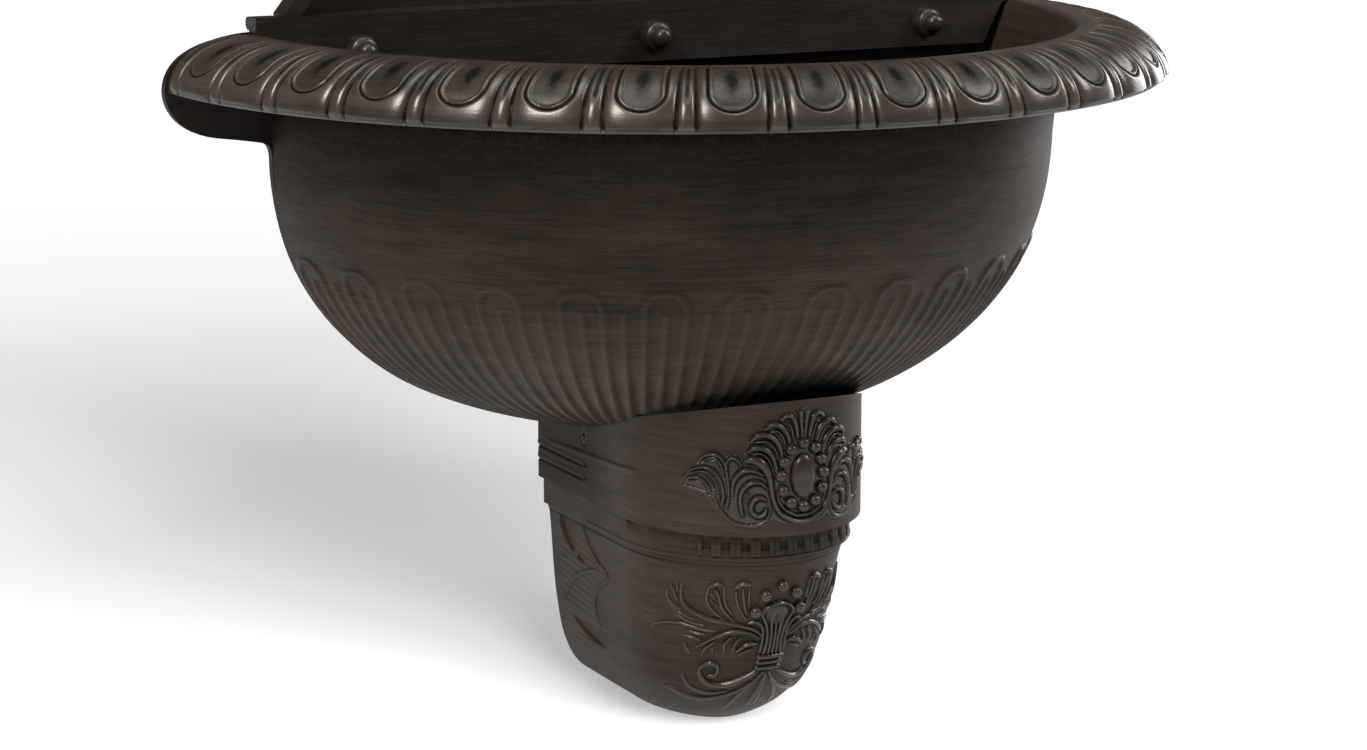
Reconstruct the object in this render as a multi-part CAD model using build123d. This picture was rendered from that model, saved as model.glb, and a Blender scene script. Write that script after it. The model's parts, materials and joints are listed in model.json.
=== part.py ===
from build123d import *
import os
from math import atan2, cos, degrees, hypot, pi, radians, sin

# Wall-hung garden fountain: a half-round cast basin on a tapering corbel, a panel with an arched top,
# a small pump in the basin and a hose that rises behind the panel to the spout.
# Units are mm. X runs along the wall, -Y points out of the wall to the viewer and +Z is up.
# The castings are drawn with their rear plane at Y = 0. On export everything moves towards -Y by the
# wall gap, so that Y = 0 of the finished part is the wall, on the centre line at the rim's lower edge.

# Wall and rear plate
WALL_GAP = 26.0
PLATE_T = 6.0
PLATE_TOP = 29.5

# Rim: half-ellipses in plan, half width by depth
LIP_W, LIP_D = 300.0, 320.6
CROWN_W, CROWN_D = 257.0, 286.5
MOUTH_W, MOUTH_D = 248.4, 279.2
RIM_H = 28.7
SOFFIT_Z = -8.0
EGG_COUNT = 19
EGG_FIRST, EGG_PITCH = 187.6, 9.03
EGG_R = (22.0, 15.5, 6.5)
EGG_SINK = 3.8

# Bowl
BOWL_W = 239.4
BOWL_TOP_W = 241.5
BOWL_RATIO, BOWL_RATIO_FALL = 1.059, 0.072
BOWL_SHOULDER_Z = -36.0
BOWL_BOTTOM_Z = -212.6
BOWL_POWER = 2.31
BOWL_T = 5.0
BOWL_STEPS = (0, 14, 27, 39, 50, 60, 68, 75, 81, 86)

# Corbel: plan half width, depth and level
STRAIGHT_SHARE = 0.59
COLLAR_W, COLLAR_D, COLLAR_STRAIGHT = 72.4, 199.0, 111.0
COLLAR_BOTTOM_Z = -247.0
CORBEL_T = 4.0
FRIEZE_W, FRIEZE_D = 69.0, 186.0
FRIEZE_TOP_Z, FRIEZE_BOTTOM_Z = -247.0, -264.0
DENTIL_PITCH, DENTIL_H, DENTIL_COUNT = 11.5, 8.0, 17
DROP_SECTIONS = [
    (65.4, 182.0, -264.0),
    (64.2, 176.0, -282.0),
    (62.8, 169.0, -304.0),
    (60.4, 162.0, -326.0),
    (56.0, 150.0, -348.0),
    (47.5, 134.0, -365.0),
    (34.0, 118.0, -375.0),
    (16.0, 104.0, -380.0),
]
SIDE_SCREW_Y, SIDE_SCREW_Z = -65.0, -209.0

# Cartouche, right half: arc length from the front centre and level
OVAL_Z = -212.5
CARTOUCHE_OUTLINE = [
    (0, -173.6), (5, -176.2), (16, -180.6), (28, -186.7), (33.3, -197), (45, -200.5), (57, -200),
    (63, -207.5), (72, -214.5), (72.5, -220), (55.5, -224.2), (44.5, -236.6), (28, -241.5), (10, -240.6),
    (0, -241.4),
]
CARTOUCHE_BEADS = [
    (0, -193.7), (7.4, -197), (11.5, -204), (13.3, -211.7), (12, -220.4), (7.4, -227.4), (0, -230),
]
# Each leaf is its arc length, level, radius, length and lean
CARTOUCHE_LEAVES = [
    (0, -181.5, 1.7, 14, 0), (5.6, -183.5, 1.8, 14, 14), (11.5, -187.3, 1.9, 14, 34),
    (18.3, -192, 2.0, 16, 44), (22.5, -198.6, 2.0, 18, 60), (24.5, -205.6, 2.6, 15, 62),
    (19.5, -216.5, 1.7, 14, 6), (14.5, -230.5, 1.6, 14, -35), (5, -237.6, 1.6, 14, -80),
    (31, -216, 1.7, 15, 75), (31, -209.3, 1.7, 14, 85), (35.2, -226, 1.5, 14, -10),
    (42.6, -217, 1.3, 24, 4), (51.5, -201, 1.4, 16, 82), (39.5, -203, 1.2, 9, 80),
    (46.2, -220, 1.3, 18, -4), (55.5, -209, 1.4, 18, 80), (60, -214.5, 1.3, 15, 75),
    (49.5, -227, 1.2, 14, -42), (63, -220, 1.1, 15, 80), (35.5, -239, 1.3, 18, -85),
]

# Panel
RAIL_FRONT_Y = -12.0
RAIL_TOP_Z = 38.0
RAIL_END_X, RAIL_NOSE_R = 249.4, 3.8
SILL_T = 3.0
TONGUE_BOTTOM_Z = 2.0
FRAME_REAR_Y = 6.0
FRAME_W = 8.5
FIELD_Y = 14.0
FIELD_T = 3.0
PANEL_W = 172.0
SHOULDER_Z = 400.0
ARCH_Z = 424.0
ARCH_R = 184.0
PILASTER_W, PILASTER_TOP_Z, PILASTER_Y, PILASTER_T = 28.0, 400.0, -2.0, 3.0
NUT_X, NUT_Z = 187.0, 17.0

# Wall rail and hanging clips
RAIL_LEN, RAIL_H, RAIL_TUBE_T = 440.0, 50.0, 3.0
RAIL_BOTTOM_Z = -16.5
RAIL_SCREW_X, RAIL_SCREW_R, RAIL_ACCESS_R = 94.0, 4.25, 9.0
CLIP_LEN, CLIP_T, CLIP_Z = 200.0, 3.0, 440.0
CLIP_SCREW_X, CLIP_SCREW_R = 70.0, 2.75
BAR_LEN, BAR_H, BAR_Z = 96.0, 26.0, -318.0
BAR_SCREW_R, BAR_ACCESS_R, BAR_LUG_X = 3.25, 7.0, 40.0

# Water line
HOSE_X, HOSE_Y = -17.0, 13.0
HOSE_R, HOSE_BORE_R = 6.0, 4.5
BARB_R, WATER_R = 4.45, 3.0
BULKHEAD_Z = -48.0
GLAND_X, GLAND_Z, GLAND_BORE_R = 30.0, -48.0, 3.6
SPOUT_Z, SPOUT_R, SPOUT_BORE_R = 330.0, 8.0, 5.5
SPOUT_REACH, SPOUT_DROP, SPOUT_BEND = 122.0, 44.0, 30.0

# Drain
DRAIN_X, DRAIN_Y = 42.0, -42.0
DRAIN_SEAT_Z, DRAIN_UNDER_Z = -202.0, -214.5
DRAIN_SHANK_R, DRAIN_BORE_R, DRAIN_SPIGOT_R = 11.9, 8.0, 10.5
PLUG_GAP = 0.3

# Pump
PUMP_X, PUMP_Y = -17.0, -66.0
PUMP_W, PUMP_L, PUMP_H = 56.0, 52.0, 48.0
PUMP_BOTTOM_Z = -188.0
PUMP_WALL = 3.0
PUMP_AXIS_Z = PUMP_BOTTOM_Z + PUMP_H / 2
NOZZLE_Y = -80.0


def save(name, *solids):
    """Writes one sub-part, moved so that the wall is at Y = 0."""
    moved = [Pos(0, -WALL_GAP, 0) * one for one in solids]
    part = moved[0] if len(moved) == 1 else Compound(children=moved)
    part.label = name
    export_step(part, f"parts/{name}.step")


def block(x0, x1, y0, y1, z0, z1):
    """A box between two corners."""
    return Pos((x0 + x1) / 2, (y0 + y1) / 2, (z0 + z1) / 2) * Box(x1 - x0, y1 - y0, z1 - z0)


def rod_y(x, z, r, y0, y1):
    """A cylinder along Y."""
    return Pos(x, (y0 + y1) / 2, z) * Rot(90, 0, 0) * Cylinder(r, y1 - y0)


def rod_x(y, z, r, x0, x1):
    """A cylinder along X."""
    return Pos((x0 + x1) / 2, y, z) * Rot(0, 90, 0) * Cylinder(r, x1 - x0)


def rod_z(x, y, r, z0, z1):
    """A cylinder along Z."""
    return Pos(x, y, (z0 + z1) / 2) * Cylinder(r, z1 - z0)


def hex_y(x, z, flats, y0, y1):
    """A hexagonal prism along Y, by its width across flats."""
    prism = extrude(RegularPolygon(flats / 2, 6, major_radius=False), y1 - y0)
    return Pos(x, y1, z) * Rot(90, 0, 0) * prism


def hex_z(x, y, flats, z0, z1):
    """A hexagonal prism along Z, by its width across flats."""
    return Pos(x, y, z0) * extrude(RegularPolygon(flats / 2, 6, major_radius=False), z1 - z0)


def leaf(at, r, length, lean=0.0, heading=0.0):
    """A round-ended rod at a point, leaned about Y from upright and then turned about Z."""
    reach = length / 2 - r
    rod = Cylinder(r, 2 * reach) + Pos(0, 0, reach) * Sphere(r) + Pos(0, 0, -reach) * Sphere(r)
    return Pos(*at) * Rot(0, 0, heading) * Rot(0, lean, 0) * rod


def bead(at, r, heading=0.0):
    """A ball at a point, with its pole facing out along the heading."""
    return Pos(*at) * Rot(0, 0, heading) * Rot(90, 0, 0) * Sphere(r)


def ellipsoid(at, radii, lean=0.0, heading=0.0):
    """An ellipsoid at a point, leaned about Y and then turned about Z."""
    return Pos(*at) * Rot(0, 0, heading) * Rot(0, lean, 0) * scale(Sphere(1), by=radii)


def wall_face(face):
    """Lays a flat outline drawn in X and Y up against the wall, as X and Z, facing -Y."""
    return Plane.XZ * face


def slab(face, y0, y1):
    """Extrudes an outline drawn in X and Z from y0 back to y1."""
    return Pos(0, y1, 0) * extrude(wall_face(face), y1 - y0)


def half_disc(w, d, z):
    """Half an ellipse in front of the rear plane."""
    arc = EllipticalCenterArc((0, 0), w, d, start_angle=180, arc_size=180)
    return Pos(0, 0, z) * make_face([arc, Line(arc @ 1, arc @ 0)])


def corbel_plan(w, d, z, straight=None):
    """Straight sides from the wall, closed by half an ellipse."""
    straight = straight or STRAIGHT_SHARE * d
    front = EllipticalCenterArc((0, 0), w, d - straight, start_angle=180, arc_size=180)
    front = Pos(0, -straight, 0) * front
    left = Line((-w, 0), front @ 0)
    right = Line(front @ 1, (w, 0))
    return Pos(0, 0, z) * make_face([left, front, right, Line((w, 0), (-w, 0))])


def corbel_point(s, w, d, z, lift=0.0, straight=None):
    """The point at arc length s from the corbel's front centre, and its outward angle about Z."""
    straight = straight or STRAIGHT_SHARE * d
    depth = d - straight
    steps = 200
    turn, walked = 0.0, 0.0
    while walked < abs(s) and turn < pi / 2:
        walked += hypot(w * cos(turn), depth * sin(turn)) * (pi / 2) / steps
        turn += (pi / 2) / steps
    side = -1 if s < 0 else 1
    x = side * w * sin(turn)
    y = -straight - depth * cos(turn) + max(abs(s) - walked, 0.0)
    normal = atan2(-w * cos(turn), side * depth * sin(turn))
    return (x + lift * cos(normal), y + lift * sin(normal), z), degrees(normal) + 90


def bowl_half_width(z, w, bottom):
    """The bowl's half width in the rear plane at a level."""
    share = (BOWL_SHOULDER_Z - z) / (BOWL_SHOULDER_Z - bottom)
    return w * (1 - share ** BOWL_POWER) ** (1 / BOWL_POWER)


def bowl_solid(thickness, top_z):
    """The bowl's form less a wall thickness: half-ellipses that get a little rounder towards the bottom."""
    bottom = BOWL_BOTTOM_Z + thickness
    levels = [BOWL_SHOULDER_Z + (bottom - BOWL_SHOULDER_Z) * sin(radians(a)) for a in BOWL_STEPS]
    plans = [half_disc(BOWL_TOP_W - thickness, (BOWL_TOP_W - thickness) * BOWL_RATIO, top_z)]
    for z in levels:
        w = bowl_half_width(z, BOWL_W - thickness, bottom)
        share = (BOWL_SHOULDER_Z - z) / (BOWL_SHOULDER_Z - bottom)
        plans.append(half_disc(w, w * (BOWL_RATIO - BOWL_RATIO_FALL * share), z))
    return loft(plans)


def bowl_outer():
    return bowl_solid(0.0, SOFFIT_Z)


def bowl_inner():
    return bowl_solid(BOWL_T, SOFFIT_Z + 1)


def behind_plate():
    """Everything behind the front face of the rear plate."""
    return block(-400, 400, -PLATE_T, 60, -420, 120)


def rim_egg_angles():
    """Angles of the egg mouldings in plan, from the left end to the right one."""
    return [EGG_FIRST + EGG_PITCH * i for i in range(EGG_COUNT)]


# Basin

def make_rim():
    """The overhanging rim: a flat crown that rolls over to the lip, with an egg moulding all round."""
    rolls = [5, 20, 35, 50, 65, 78, 90]
    roll = [
        half_disc(
            CROWN_W + (LIP_W - CROWN_W) * cos(radians(a)),
            CROWN_D + (LIP_D - CROWN_D) * cos(radians(a)),
            RIM_H * sin(radians(a)),
        )
        for a in rolls
    ]
    under = loft([half_disc(250, 262, SOFFIT_Z), half_disc(LIP_W, LIP_D, 0)], ruled=True)
    edge = loft([half_disc(LIP_W, LIP_D, 0), roll[0]], ruled=True)
    body = under + edge + loft(roll)
    mouth = loft([
        half_disc(BOWL_TOP_W - BOWL_T, (BOWL_TOP_W - BOWL_T) * BOWL_RATIO, SOFFIT_Z - 1),
        half_disc(MOUTH_W - 7, MOUTH_D - 16, 8),
        half_disc(MOUTH_W, MOUTH_D, RIM_H + 0.5),
    ])
    eggs = []
    for angle in rim_egg_angles():
        a = radians(angle)
        w, d = CROWN_W + (LIP_W - CROWN_W) * cos(pi / 4), CROWN_D + (LIP_D - CROWN_D) * cos(pi / 4)
        heading = atan2(sin(a) / d, cos(a) / w)
        slope = atan2(RIM_H, hypot(w * cos(a), d * sin(a)) * (1 - CROWN_W / LIP_W))
        sink = EGG_SINK * sin(slope)
        x, y = w * cos(a) - sink * cos(heading), d * sin(a) - sink * sin(heading)
        z = RIM_H * sin(pi / 4) - EGG_SINK * cos(slope)
        eggs.append(ellipsoid((x, y, z), EGG_R, degrees(slope), degrees(heading)))
    return body + eggs - mouth - behind_plate()


def make_bowl():
    """The half-round bowl with its drain seat and the two lugs that the corbel is screwed to."""
    outer = bowl_outer()
    inner = bowl_inner()
    seat = rod_z(DRAIN_X, DRAIN_Y, 23, DRAIN_UNDER_Z, DRAIN_SEAT_Z)
    lugs = [
        block(side * 63 - 5, side * 63 + 5, SIDE_SCREW_Y - 11, SIDE_SCREW_Y + 11, -219, -190)
        for side in (-1, 1)
    ]
    shell = outer + lugs - inner + seat - rod_z(DRAIN_X, DRAIN_Y, 21.5, DRAIN_SEAT_Z, DRAIN_SEAT_Z + 12)
    shell -= rod_z(DRAIN_X, DRAIN_Y, DRAIN_SHANK_R + 0.1, DRAIN_UNDER_Z - 1, DRAIN_SEAT_Z + 1)
    for side in (-1, 1):
        shell -= rod_x(SIDE_SCREW_Y, SIDE_SCREW_Z, 2.5, side * 63 - 6, side * 63 + 6)
    return shell - behind_plate()


def plate_outline():
    """The rear plate as seen from the front: a lobed ear at each end of the rim, then the bowl's line."""
    ear = Spline(
        (MOUTH_W, PLATE_TOP),
        (268, 27),
        (288, 20),
        (298, 11),
        (302, -2),
        (297, -16),
        (281, -27),
        (262, -30.5),
        (247, -33),
        (BOWL_W, -44),
        tangents=[(1, 0), (0, -1)],
    )
    drop = BOWL_BOTTOM_Z - BOWL_SHOULDER_Z
    levels = [BOWL_SHOULDER_Z + drop * sin(radians(a)) for a in range(10, 90, 10)]
    side = [(bowl_half_width(z, BOWL_W, BOWL_BOTTOM_Z), z) for z in levels]
    curve = Spline((BOWL_W, -44), *side, (0, BOWL_BOTTOM_Z), tangents=[(0, -1), (-1, 0)])
    right = [ear, curve]
    left = [mirror(edge, about=Plane.YZ) for edge in right]
    return make_face(right + left + [Line((-MOUTH_W, PLATE_TOP), (MOUTH_W, PLATE_TOP))])


def make_back_plate():
    plate = slab(plate_outline(), -PLATE_T, 0)
    for x in (-NUT_X, 0, NUT_X):
        plate -= rod_y(x, NUT_Z, 5.5, -10, 4)
    plate -= rod_y(HOSE_X, BULKHEAD_Z, 8.1, -10, 4)
    plate -= rod_y(GLAND_X, GLAND_Z, 8.1, -10, 4)
    return plate


# Corbel

def collar_plan(grow, z):
    """The collar's plan, grown or shrunk all round."""
    return corbel_plan(COLLAR_W + grow, COLLAR_D + grow, z, COLLAR_STRAIGHT)


def make_collar():
    """The upper corbel casting, cut to the underside of the bowl, with a narrow gap left in front."""
    outer = extrude(collar_plan(0, COLLAR_BOTTOM_Z), 110)
    inner = extrude(collar_plan(-CORBEL_T, COLLAR_BOTTOM_Z - 1), 120)
    gap = [(-100, -192.5), (-200, -169), (-200, -100), (-100, -100)]
    relief = Pos(-100, 0, 0) * extrude(Plane.YZ * make_face(Polyline(*gap, close=True)), 200)
    collar = outer - inner - bowl_outer() - relief - slab(plate_outline(), -PLATE_T, 0)
    for side in (-1, 1):
        collar -= rod_x(SIDE_SCREW_Y, SIDE_SCREW_Z, 2.6, side * 71 - 5, side * 71 + 5)
        sink = Cone(2.6, 6.2, 3.6)
        collar -= Pos(side * (COLLAR_W - 1.8), SIDE_SCREW_Y, SIDE_SCREW_Z) * Rot(0, side * 90, 0) * sink
    return collar


def drop_solid(grow):
    """The lower corbel's outer form, grown or shrunk all round."""
    plans = [corbel_plan(w + grow, d + grow, z) for w, d, z in DROP_SECTIONS]
    return loft(plans)


def make_drop():
    """The lower corbel casting: frieze with dentils, a ring, and the body that rounds in to its tip."""
    body = drop_solid(0)
    inside = [
        corbel_plan(w - CORBEL_T, d - CORBEL_T, z)
        for w, d, z in DROP_SECTIONS[:-3]
    ]
    inside.append(corbel_plan(40, 126, -366))
    frieze = extrude(corbel_plan(FRIEZE_W, FRIEZE_D, FRIEZE_BOTTOM_Z), FRIEZE_TOP_Z - FRIEZE_BOTTOM_Z)
    step = extrude(collar_plan(-CORBEL_T, FRIEZE_TOP_Z - 1), 13)
    ring = extrude(corbel_plan(FRIEZE_W - 0.8, FRIEZE_D - 0.8, FRIEZE_BOTTOM_Z - 2), 2.2)
    drop = body + frieze + step + ring
    dentils = []
    for i in range(DENTIL_COUNT):
        s = (i - (DENTIL_COUNT - 1) / 2) * DENTIL_PITCH
        at, turn = corbel_point(s, FRIEZE_W, FRIEZE_D, FRIEZE_TOP_Z - 3 - DENTIL_H / 2, 0.4)
        dentils.append(Pos(*at) * Rot(0, 0, turn) * Box(8, 3.6, DENTIL_H))
    drop += dentils
    drop -= loft(inside)
    drop -= extrude(corbel_plan(FRIEZE_W - 4.6, FRIEZE_D - 5, FRIEZE_BOTTOM_Z - 0.5), 40)
    drop -= extrude(collar_plan(-2 * CORBEL_T, FRIEZE_TOP_Z + 3), 20)
    lug_xs = [-BAR_LUG_X, BAR_LUG_X]
    lugs = [block(x - 10, x + 10, -14, 0, BAR_Z - 9, BAR_Z + 9) for x in lug_xs]
    webs = [block(side * 55 - 7, side * 55 + 7, -14, 0, BAR_Z - 9, BAR_Z + 9) & body for side in (-1, 1)]
    drop = drop + lugs + webs
    for side in (-1, 1):
        drop -= rod_y(side * BAR_LUG_X, BAR_Z, 2.5, -12, 1)
    return drop


def band_spot(s, z, lift=0.0):
    """A point on the collar at arc length s from its front centre."""
    return corbel_point(s, COLLAR_W, COLLAR_D, z, lift, COLLAR_STRAIGHT)


def make_cartouche():
    """The ornament on the collar: a beaded oval, a shell fan above it, a ribbon below and side plumes."""
    right = []
    for s, z in CARTOUCHE_OUTLINE:
        at, turn = band_spot(s, z)
        right.append((at[0], z))
    left = [(-x, z) for x, z in reversed(right[1:-1])]
    outline = make_face(Polyline(*right, *left, close=True))
    skin = extrude(collar_plan(1.2, COLLAR_BOTTOM_Z + 1), 90) - extrude(collar_plan(0, COLLAR_BOTTOM_Z), 92)
    ornament = skin & slab(outline, -260, -100)
    pieces = []
    at, turn = band_spot(0, OVAL_Z, 1.2)
    pieces.append(ellipsoid(at, (7.4, 4.6, 12.6), 0, turn))
    for s, z in CARTOUCHE_BEADS:
        for side in (-1, 1) if s else (1,):
            at, turn = band_spot(side * s, z, 1.3)
            pieces.append(bead(at, 3.3, turn))
    for s, z, r, length, lean in CARTOUCHE_LEAVES:
        for side in (-1, 1) if s else (1,):
            at, turn = band_spot(side * s, z, 0.5)
            pieces.append(leaf(at, r, length, side * lean, turn))
    for side in (-1, 1):
        at, turn = band_spot(side * 25.3, -229, 1.0)
        pieces.append(Pos(*at) * Rot(0, 0, turn) * Rot(90, 0, 0) * Torus(4.3, 1.8))
    return ornament + pieces - extrude(collar_plan(0, COLLAR_BOTTOM_Z - 10), 120)


def drop_spot(s, z, lift=0.0):
    """A point on the lower corbel's front, between its listed sections."""
    rows = [(w, d, level) for w, d, level in DROP_SECTIONS]
    upper = max((row for row in rows if row[2] >= z), key=lambda row: -row[2])
    lower = max((row for row in rows if row[2] < z), key=lambda row: row[2])
    share = (upper[2] - z) / (upper[2] - lower[2])
    w = upper[0] + share * (lower[0] - upper[0])
    d = upper[1] + share * (lower[1] - upper[1])
    return corbel_point(s, w, d, z, lift)


def make_lily():
    """The ornament on the lower corbel: five beads over a lily, tied by three bands, with leafy stems."""
    shape = [(0, -275), (30, -284), (56, -292), (62, -312), (50, -334), (26, -352), (0, -356)]
    left = [(-s, z) for s, z in reversed(shape[1:-1])]
    outline = scale(make_face(Spline(*(shape + left), periodic=True)), by=(0.86, 1, 1))
    backing = (drop_solid(1.3) - drop_solid(0)) & slab(outline, -220, -60)
    pieces = []
    for i in range(5):
        a = radians(-80 + 40 * i)
        at, turn = drop_spot(12.5 * sin(a), -291 + 9.5 * cos(a), 1.4)
        pieces.append(Pos(*at) * Sphere(3.2))
    for i in range(5):
        lean = -64 + 32 * i
        at, turn = drop_spot(10 * sin(radians(lean)), -305 + 9 * cos(radians(lean)), 1.0)
        pieces.append(ellipsoid(at, (3.2, 2.8, 9.0), lean, turn))
    for i in range(3):
        at, turn = drop_spot(0, -318.5 - 4.4 * i, 0.4)
        pieces.append(ellipsoid(at, (10.5 - i, 3.8, 2.5), 0, turn))
    for side in (-1, 1):
        for i in range(6):
            a = radians(20 + 24 * i)
            at, turn = drop_spot(side * (14 + 26 * sin(a)), -330 + 34 * (1 - cos(a)) * 0.7, 0.8)
            pieces.append(ellipsoid(at, (3.0, 2.4, 8.0), side * (70 - 22 * i), turn))
        at, turn = drop_spot(side * 30, -343, 1.2)
        pieces.append(Pos(*at) * Rot(0, 0, turn) * Rot(90, 0, 0) * Torus(5.0, 1.9))
    return backing + pieces - drop_solid(0)


def make_side_screws():
    """Countersunk screws through the collar into the bowl's lugs."""
    screws = []
    for side in (-1, 1):
        head = Rot(0, side * 90, 0) * Cone(2.4, 6.0, 3.5)
        head = Pos(side * (COLLAR_W - 1.9), SIDE_SCREW_Y, SIDE_SCREW_Z) * head
        shank = rod_x(SIDE_SCREW_Y, SIDE_SCREW_Z, 2.4, side * 64.5 - 6.5, side * 64.5 + 6.5)
        screw = head + shank
        for cut in (Box(2, 1, 6), Box(2, 6, 1)):
            screw -= Pos(side * COLLAR_W, SIDE_SCREW_Y, SIDE_SCREW_Z) * cut
        screws.append(screw)
    return screws


# Panel

def panel_outline(inset=0.0):
    """The arched panel with swept-in shoulders, drawn in X and Z, moved in by an inset."""
    foot_x = 232.5 - inset * 1.28
    foot = (foot_x, RAIL_TOP_Z - SILL_T)
    knee = (211.5 - inset, 65 - inset * 0.35)
    waist = (PANEL_W - inset, 150)
    neck = (PANEL_W - inset, SHOULDER_Z + inset)
    right = [
        Line(foot, (foot_x, RAIL_TOP_Z + 1)),
        Line((foot_x, RAIL_TOP_Z + 1), knee),
        Bezier(knee, (190 - inset, 91 - inset * 0.3), (PANEL_W - inset, 115), waist),
        Line(waist, neck),
        Line(neck, (ARCH_R - inset, neck[1])),
        Line((ARCH_R - inset, neck[1]), (ARCH_R - inset, ARCH_Z)),
    ]
    left = [mirror(edge, about=Plane.YZ) for edge in right]
    arch = CenterArc((0, ARCH_Z), ARCH_R - inset, 0, 180)
    return make_face(right + left + [arch, Line((-foot[0], foot[1]), foot)])


def mirrored_polygon(right):
    """A polygon from the points of its right side, from bottom to top."""
    left = [(-x, z) for x, z in reversed(right)]
    return make_face(Polyline(*right, *left, close=True))


def make_panel():
    """The panel casting: frame, recessed field, lower rail with its tongue, and a hollow pilaster."""
    frame = slab(panel_outline(), RAIL_FRONT_Y, FRAME_REAR_Y)
    shell = slab(panel_outline(FRAME_W - 4), RAIL_FRONT_Y, FIELD_Y + FIELD_T)
    pocket = slab(panel_outline(FRAME_W), RAIL_FRONT_Y - 1, FIELD_Y)
    pocket -= block(-300, 300, -20, 30, 0, RAIL_TOP_Z)
    rail = block(-RAIL_END_X, RAIL_END_X, RAIL_FRONT_Y, 0, PLATE_TOP, RAIL_TOP_Z)
    for side in (-1, 1):
        middle, low = side * (RAIL_END_X - 7), RAIL_TOP_Z - 2 * RAIL_NOSE_R
        nose = block(middle - 7, middle + 7, -2, FRAME_REAR_Y - 0.4, low, RAIL_TOP_Z)
        rail += fillet(nose.edges().filter_by(Axis.X).group_by(Axis.Y)[-1], RAIL_NOSE_R - 0.1)
    slant = [(229.6, TONGUE_BOTTOM_Z), (234, 10), (238, 18), (243, 27), (RAIL_END_X, 28.9), (RAIL_END_X, 31)]
    tongue = slab(mirrored_polygon(slant), RAIL_FRONT_Y, -PLATE_T)
    panel = frame + shell - pocket + rail + tongue
    panel -= block(-300, 300, -PLATE_T, 1, 20, PLATE_TOP)
    w, t = PILASTER_W, PILASTER_T
    panel += block(-w, w, PILASTER_Y, FIELD_Y + FIELD_T, RAIL_TOP_Z - 1, PILASTER_TOP_Z)
    hollow = block(t - w, w - t, PILASTER_Y + t, FIELD_Y + FIELD_T + 1, RAIL_TOP_Z, PILASTER_TOP_Z - t)
    panel -= hollow
    panel -= rod_z(HOSE_X, HOSE_Y, HOSE_R + 1, 30, RAIL_TOP_Z + 1)
    panel -= rod_y(0, SPOUT_Z, SPOUT_R + 0.1, PILASTER_Y - 1, PILASTER_Y + t + 1)
    for x in (-NUT_X, 0, NUT_X):
        panel -= rod_y(x, NUT_Z, 5.5, RAIL_FRONT_Y - 1, 0)
    return panel


def make_crest():
    """A shell palmette on the crown of the arch."""
    base_z = ARCH_Z + ARCH_R - 9
    back = rod_y(0, base_z, 30, -16, -12) - block(-60, 60, -30, 10, base_z - 60, base_z - 9)
    pieces = []
    for i in range(9):
        lean = -80 + 20 * i
        reach = 23
        at = (reach * sin(radians(lean)), -15.5, base_z + reach * cos(radians(lean)))
        pieces.append(leaf(at, 4.2, 27, lean))
    pieces.append(Pos(0, -15, base_z) * Sphere(9))
    crest = back
    for piece in pieces:
        crest += piece
    return crest - block(-60, 60, RAIL_FRONT_Y, 20, base_z - 40, base_z + 60)


def make_rosette():
    """The flower boss that the spout comes out of."""
    y = PILASTER_Y
    boss = rod_y(0, SPOUT_Z, 44, y - 5, y) + rod_y(0, SPOUT_Z, 17, y - 12, y)
    petals = []
    for i in range(8):
        for radius, reach, shift in ((8.5, 31, 0), (6.0, 40, 22.5)):
            lean = 45 * i + shift
            at = (reach * sin(radians(lean)), y - 4.5, SPOUT_Z + reach * cos(radians(lean)))
            petals.append(ellipsoid(at, (radius, 4.5, radius * 1.65), lean))
    rosette = boss + petals
    rosette -= block(-80, 80, y, 40, SPOUT_Z - 80, SPOUT_Z + 80)
    return rosette - rod_y(0, SPOUT_Z, SPOUT_R + 0.1, y - 20, y + 2)


# Wall hardware

def tube_bar(length, height, z0):
    """A rectangular tube along the wall, between the castings and the wall."""
    t = RAIL_TUBE_T
    outer = block(-length / 2, length / 2, 0, WALL_GAP, z0, z0 + height)
    return outer - block(-length / 2 - 1, length / 2 + 1, t, WALL_GAP - t, z0 + t, z0 + height - t)


def make_wall_rail():
    """The rail that carries the basin and the panel on three studs."""
    rail = tube_bar(RAIL_LEN, RAIL_H, RAIL_BOTTOM_Z)
    middle = RAIL_BOTTOM_Z + RAIL_H / 2
    rail -= rod_z(HOSE_X, HOSE_Y, HOSE_R + 1.2, RAIL_BOTTOM_Z - 1, RAIL_BOTTOM_Z + RAIL_H + 1)
    for x in (-NUT_X, 0, NUT_X):
        rail -= rod_y(x, NUT_Z, 5.1, -1, RAIL_TUBE_T + 1)
    for x in (-RAIL_SCREW_X, RAIL_SCREW_X):
        rail -= rod_y(x, middle, RAIL_ACCESS_R, -1, RAIL_TUBE_T + 1)
        rail -= rod_y(x, middle, RAIL_SCREW_R, WALL_GAP - RAIL_TUBE_T - 1, WALL_GAP + 1)
    return rail


def make_wall_clip():
    """The strip on the wall that the panel hooks over."""
    y0, y1, half, t = FIELD_Y + FIELD_T, WALL_GAP, CLIP_LEN / 2, CLIP_T
    flange = block(-half, half, y1 - t, y1, CLIP_Z - 44, CLIP_Z - 20)
    jog = block(-half, half, y0 + t, y1, CLIP_Z - 23, CLIP_Z - 20)
    lip = block(-half, half, y0 + t, y0 + 2 * t, CLIP_Z - 23, CLIP_Z)
    clip = flange + jog + lip
    for x in (-CLIP_SCREW_X, CLIP_SCREW_X):
        clip -= rod_y(x, CLIP_Z - 33, CLIP_SCREW_R, y1 - t - 1, y1 + 1)
        clip -= rod_y(x, CLIP_Z - 33, 6, y0 - 1, y1 - t - 0.1) & lip
    return clip


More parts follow.
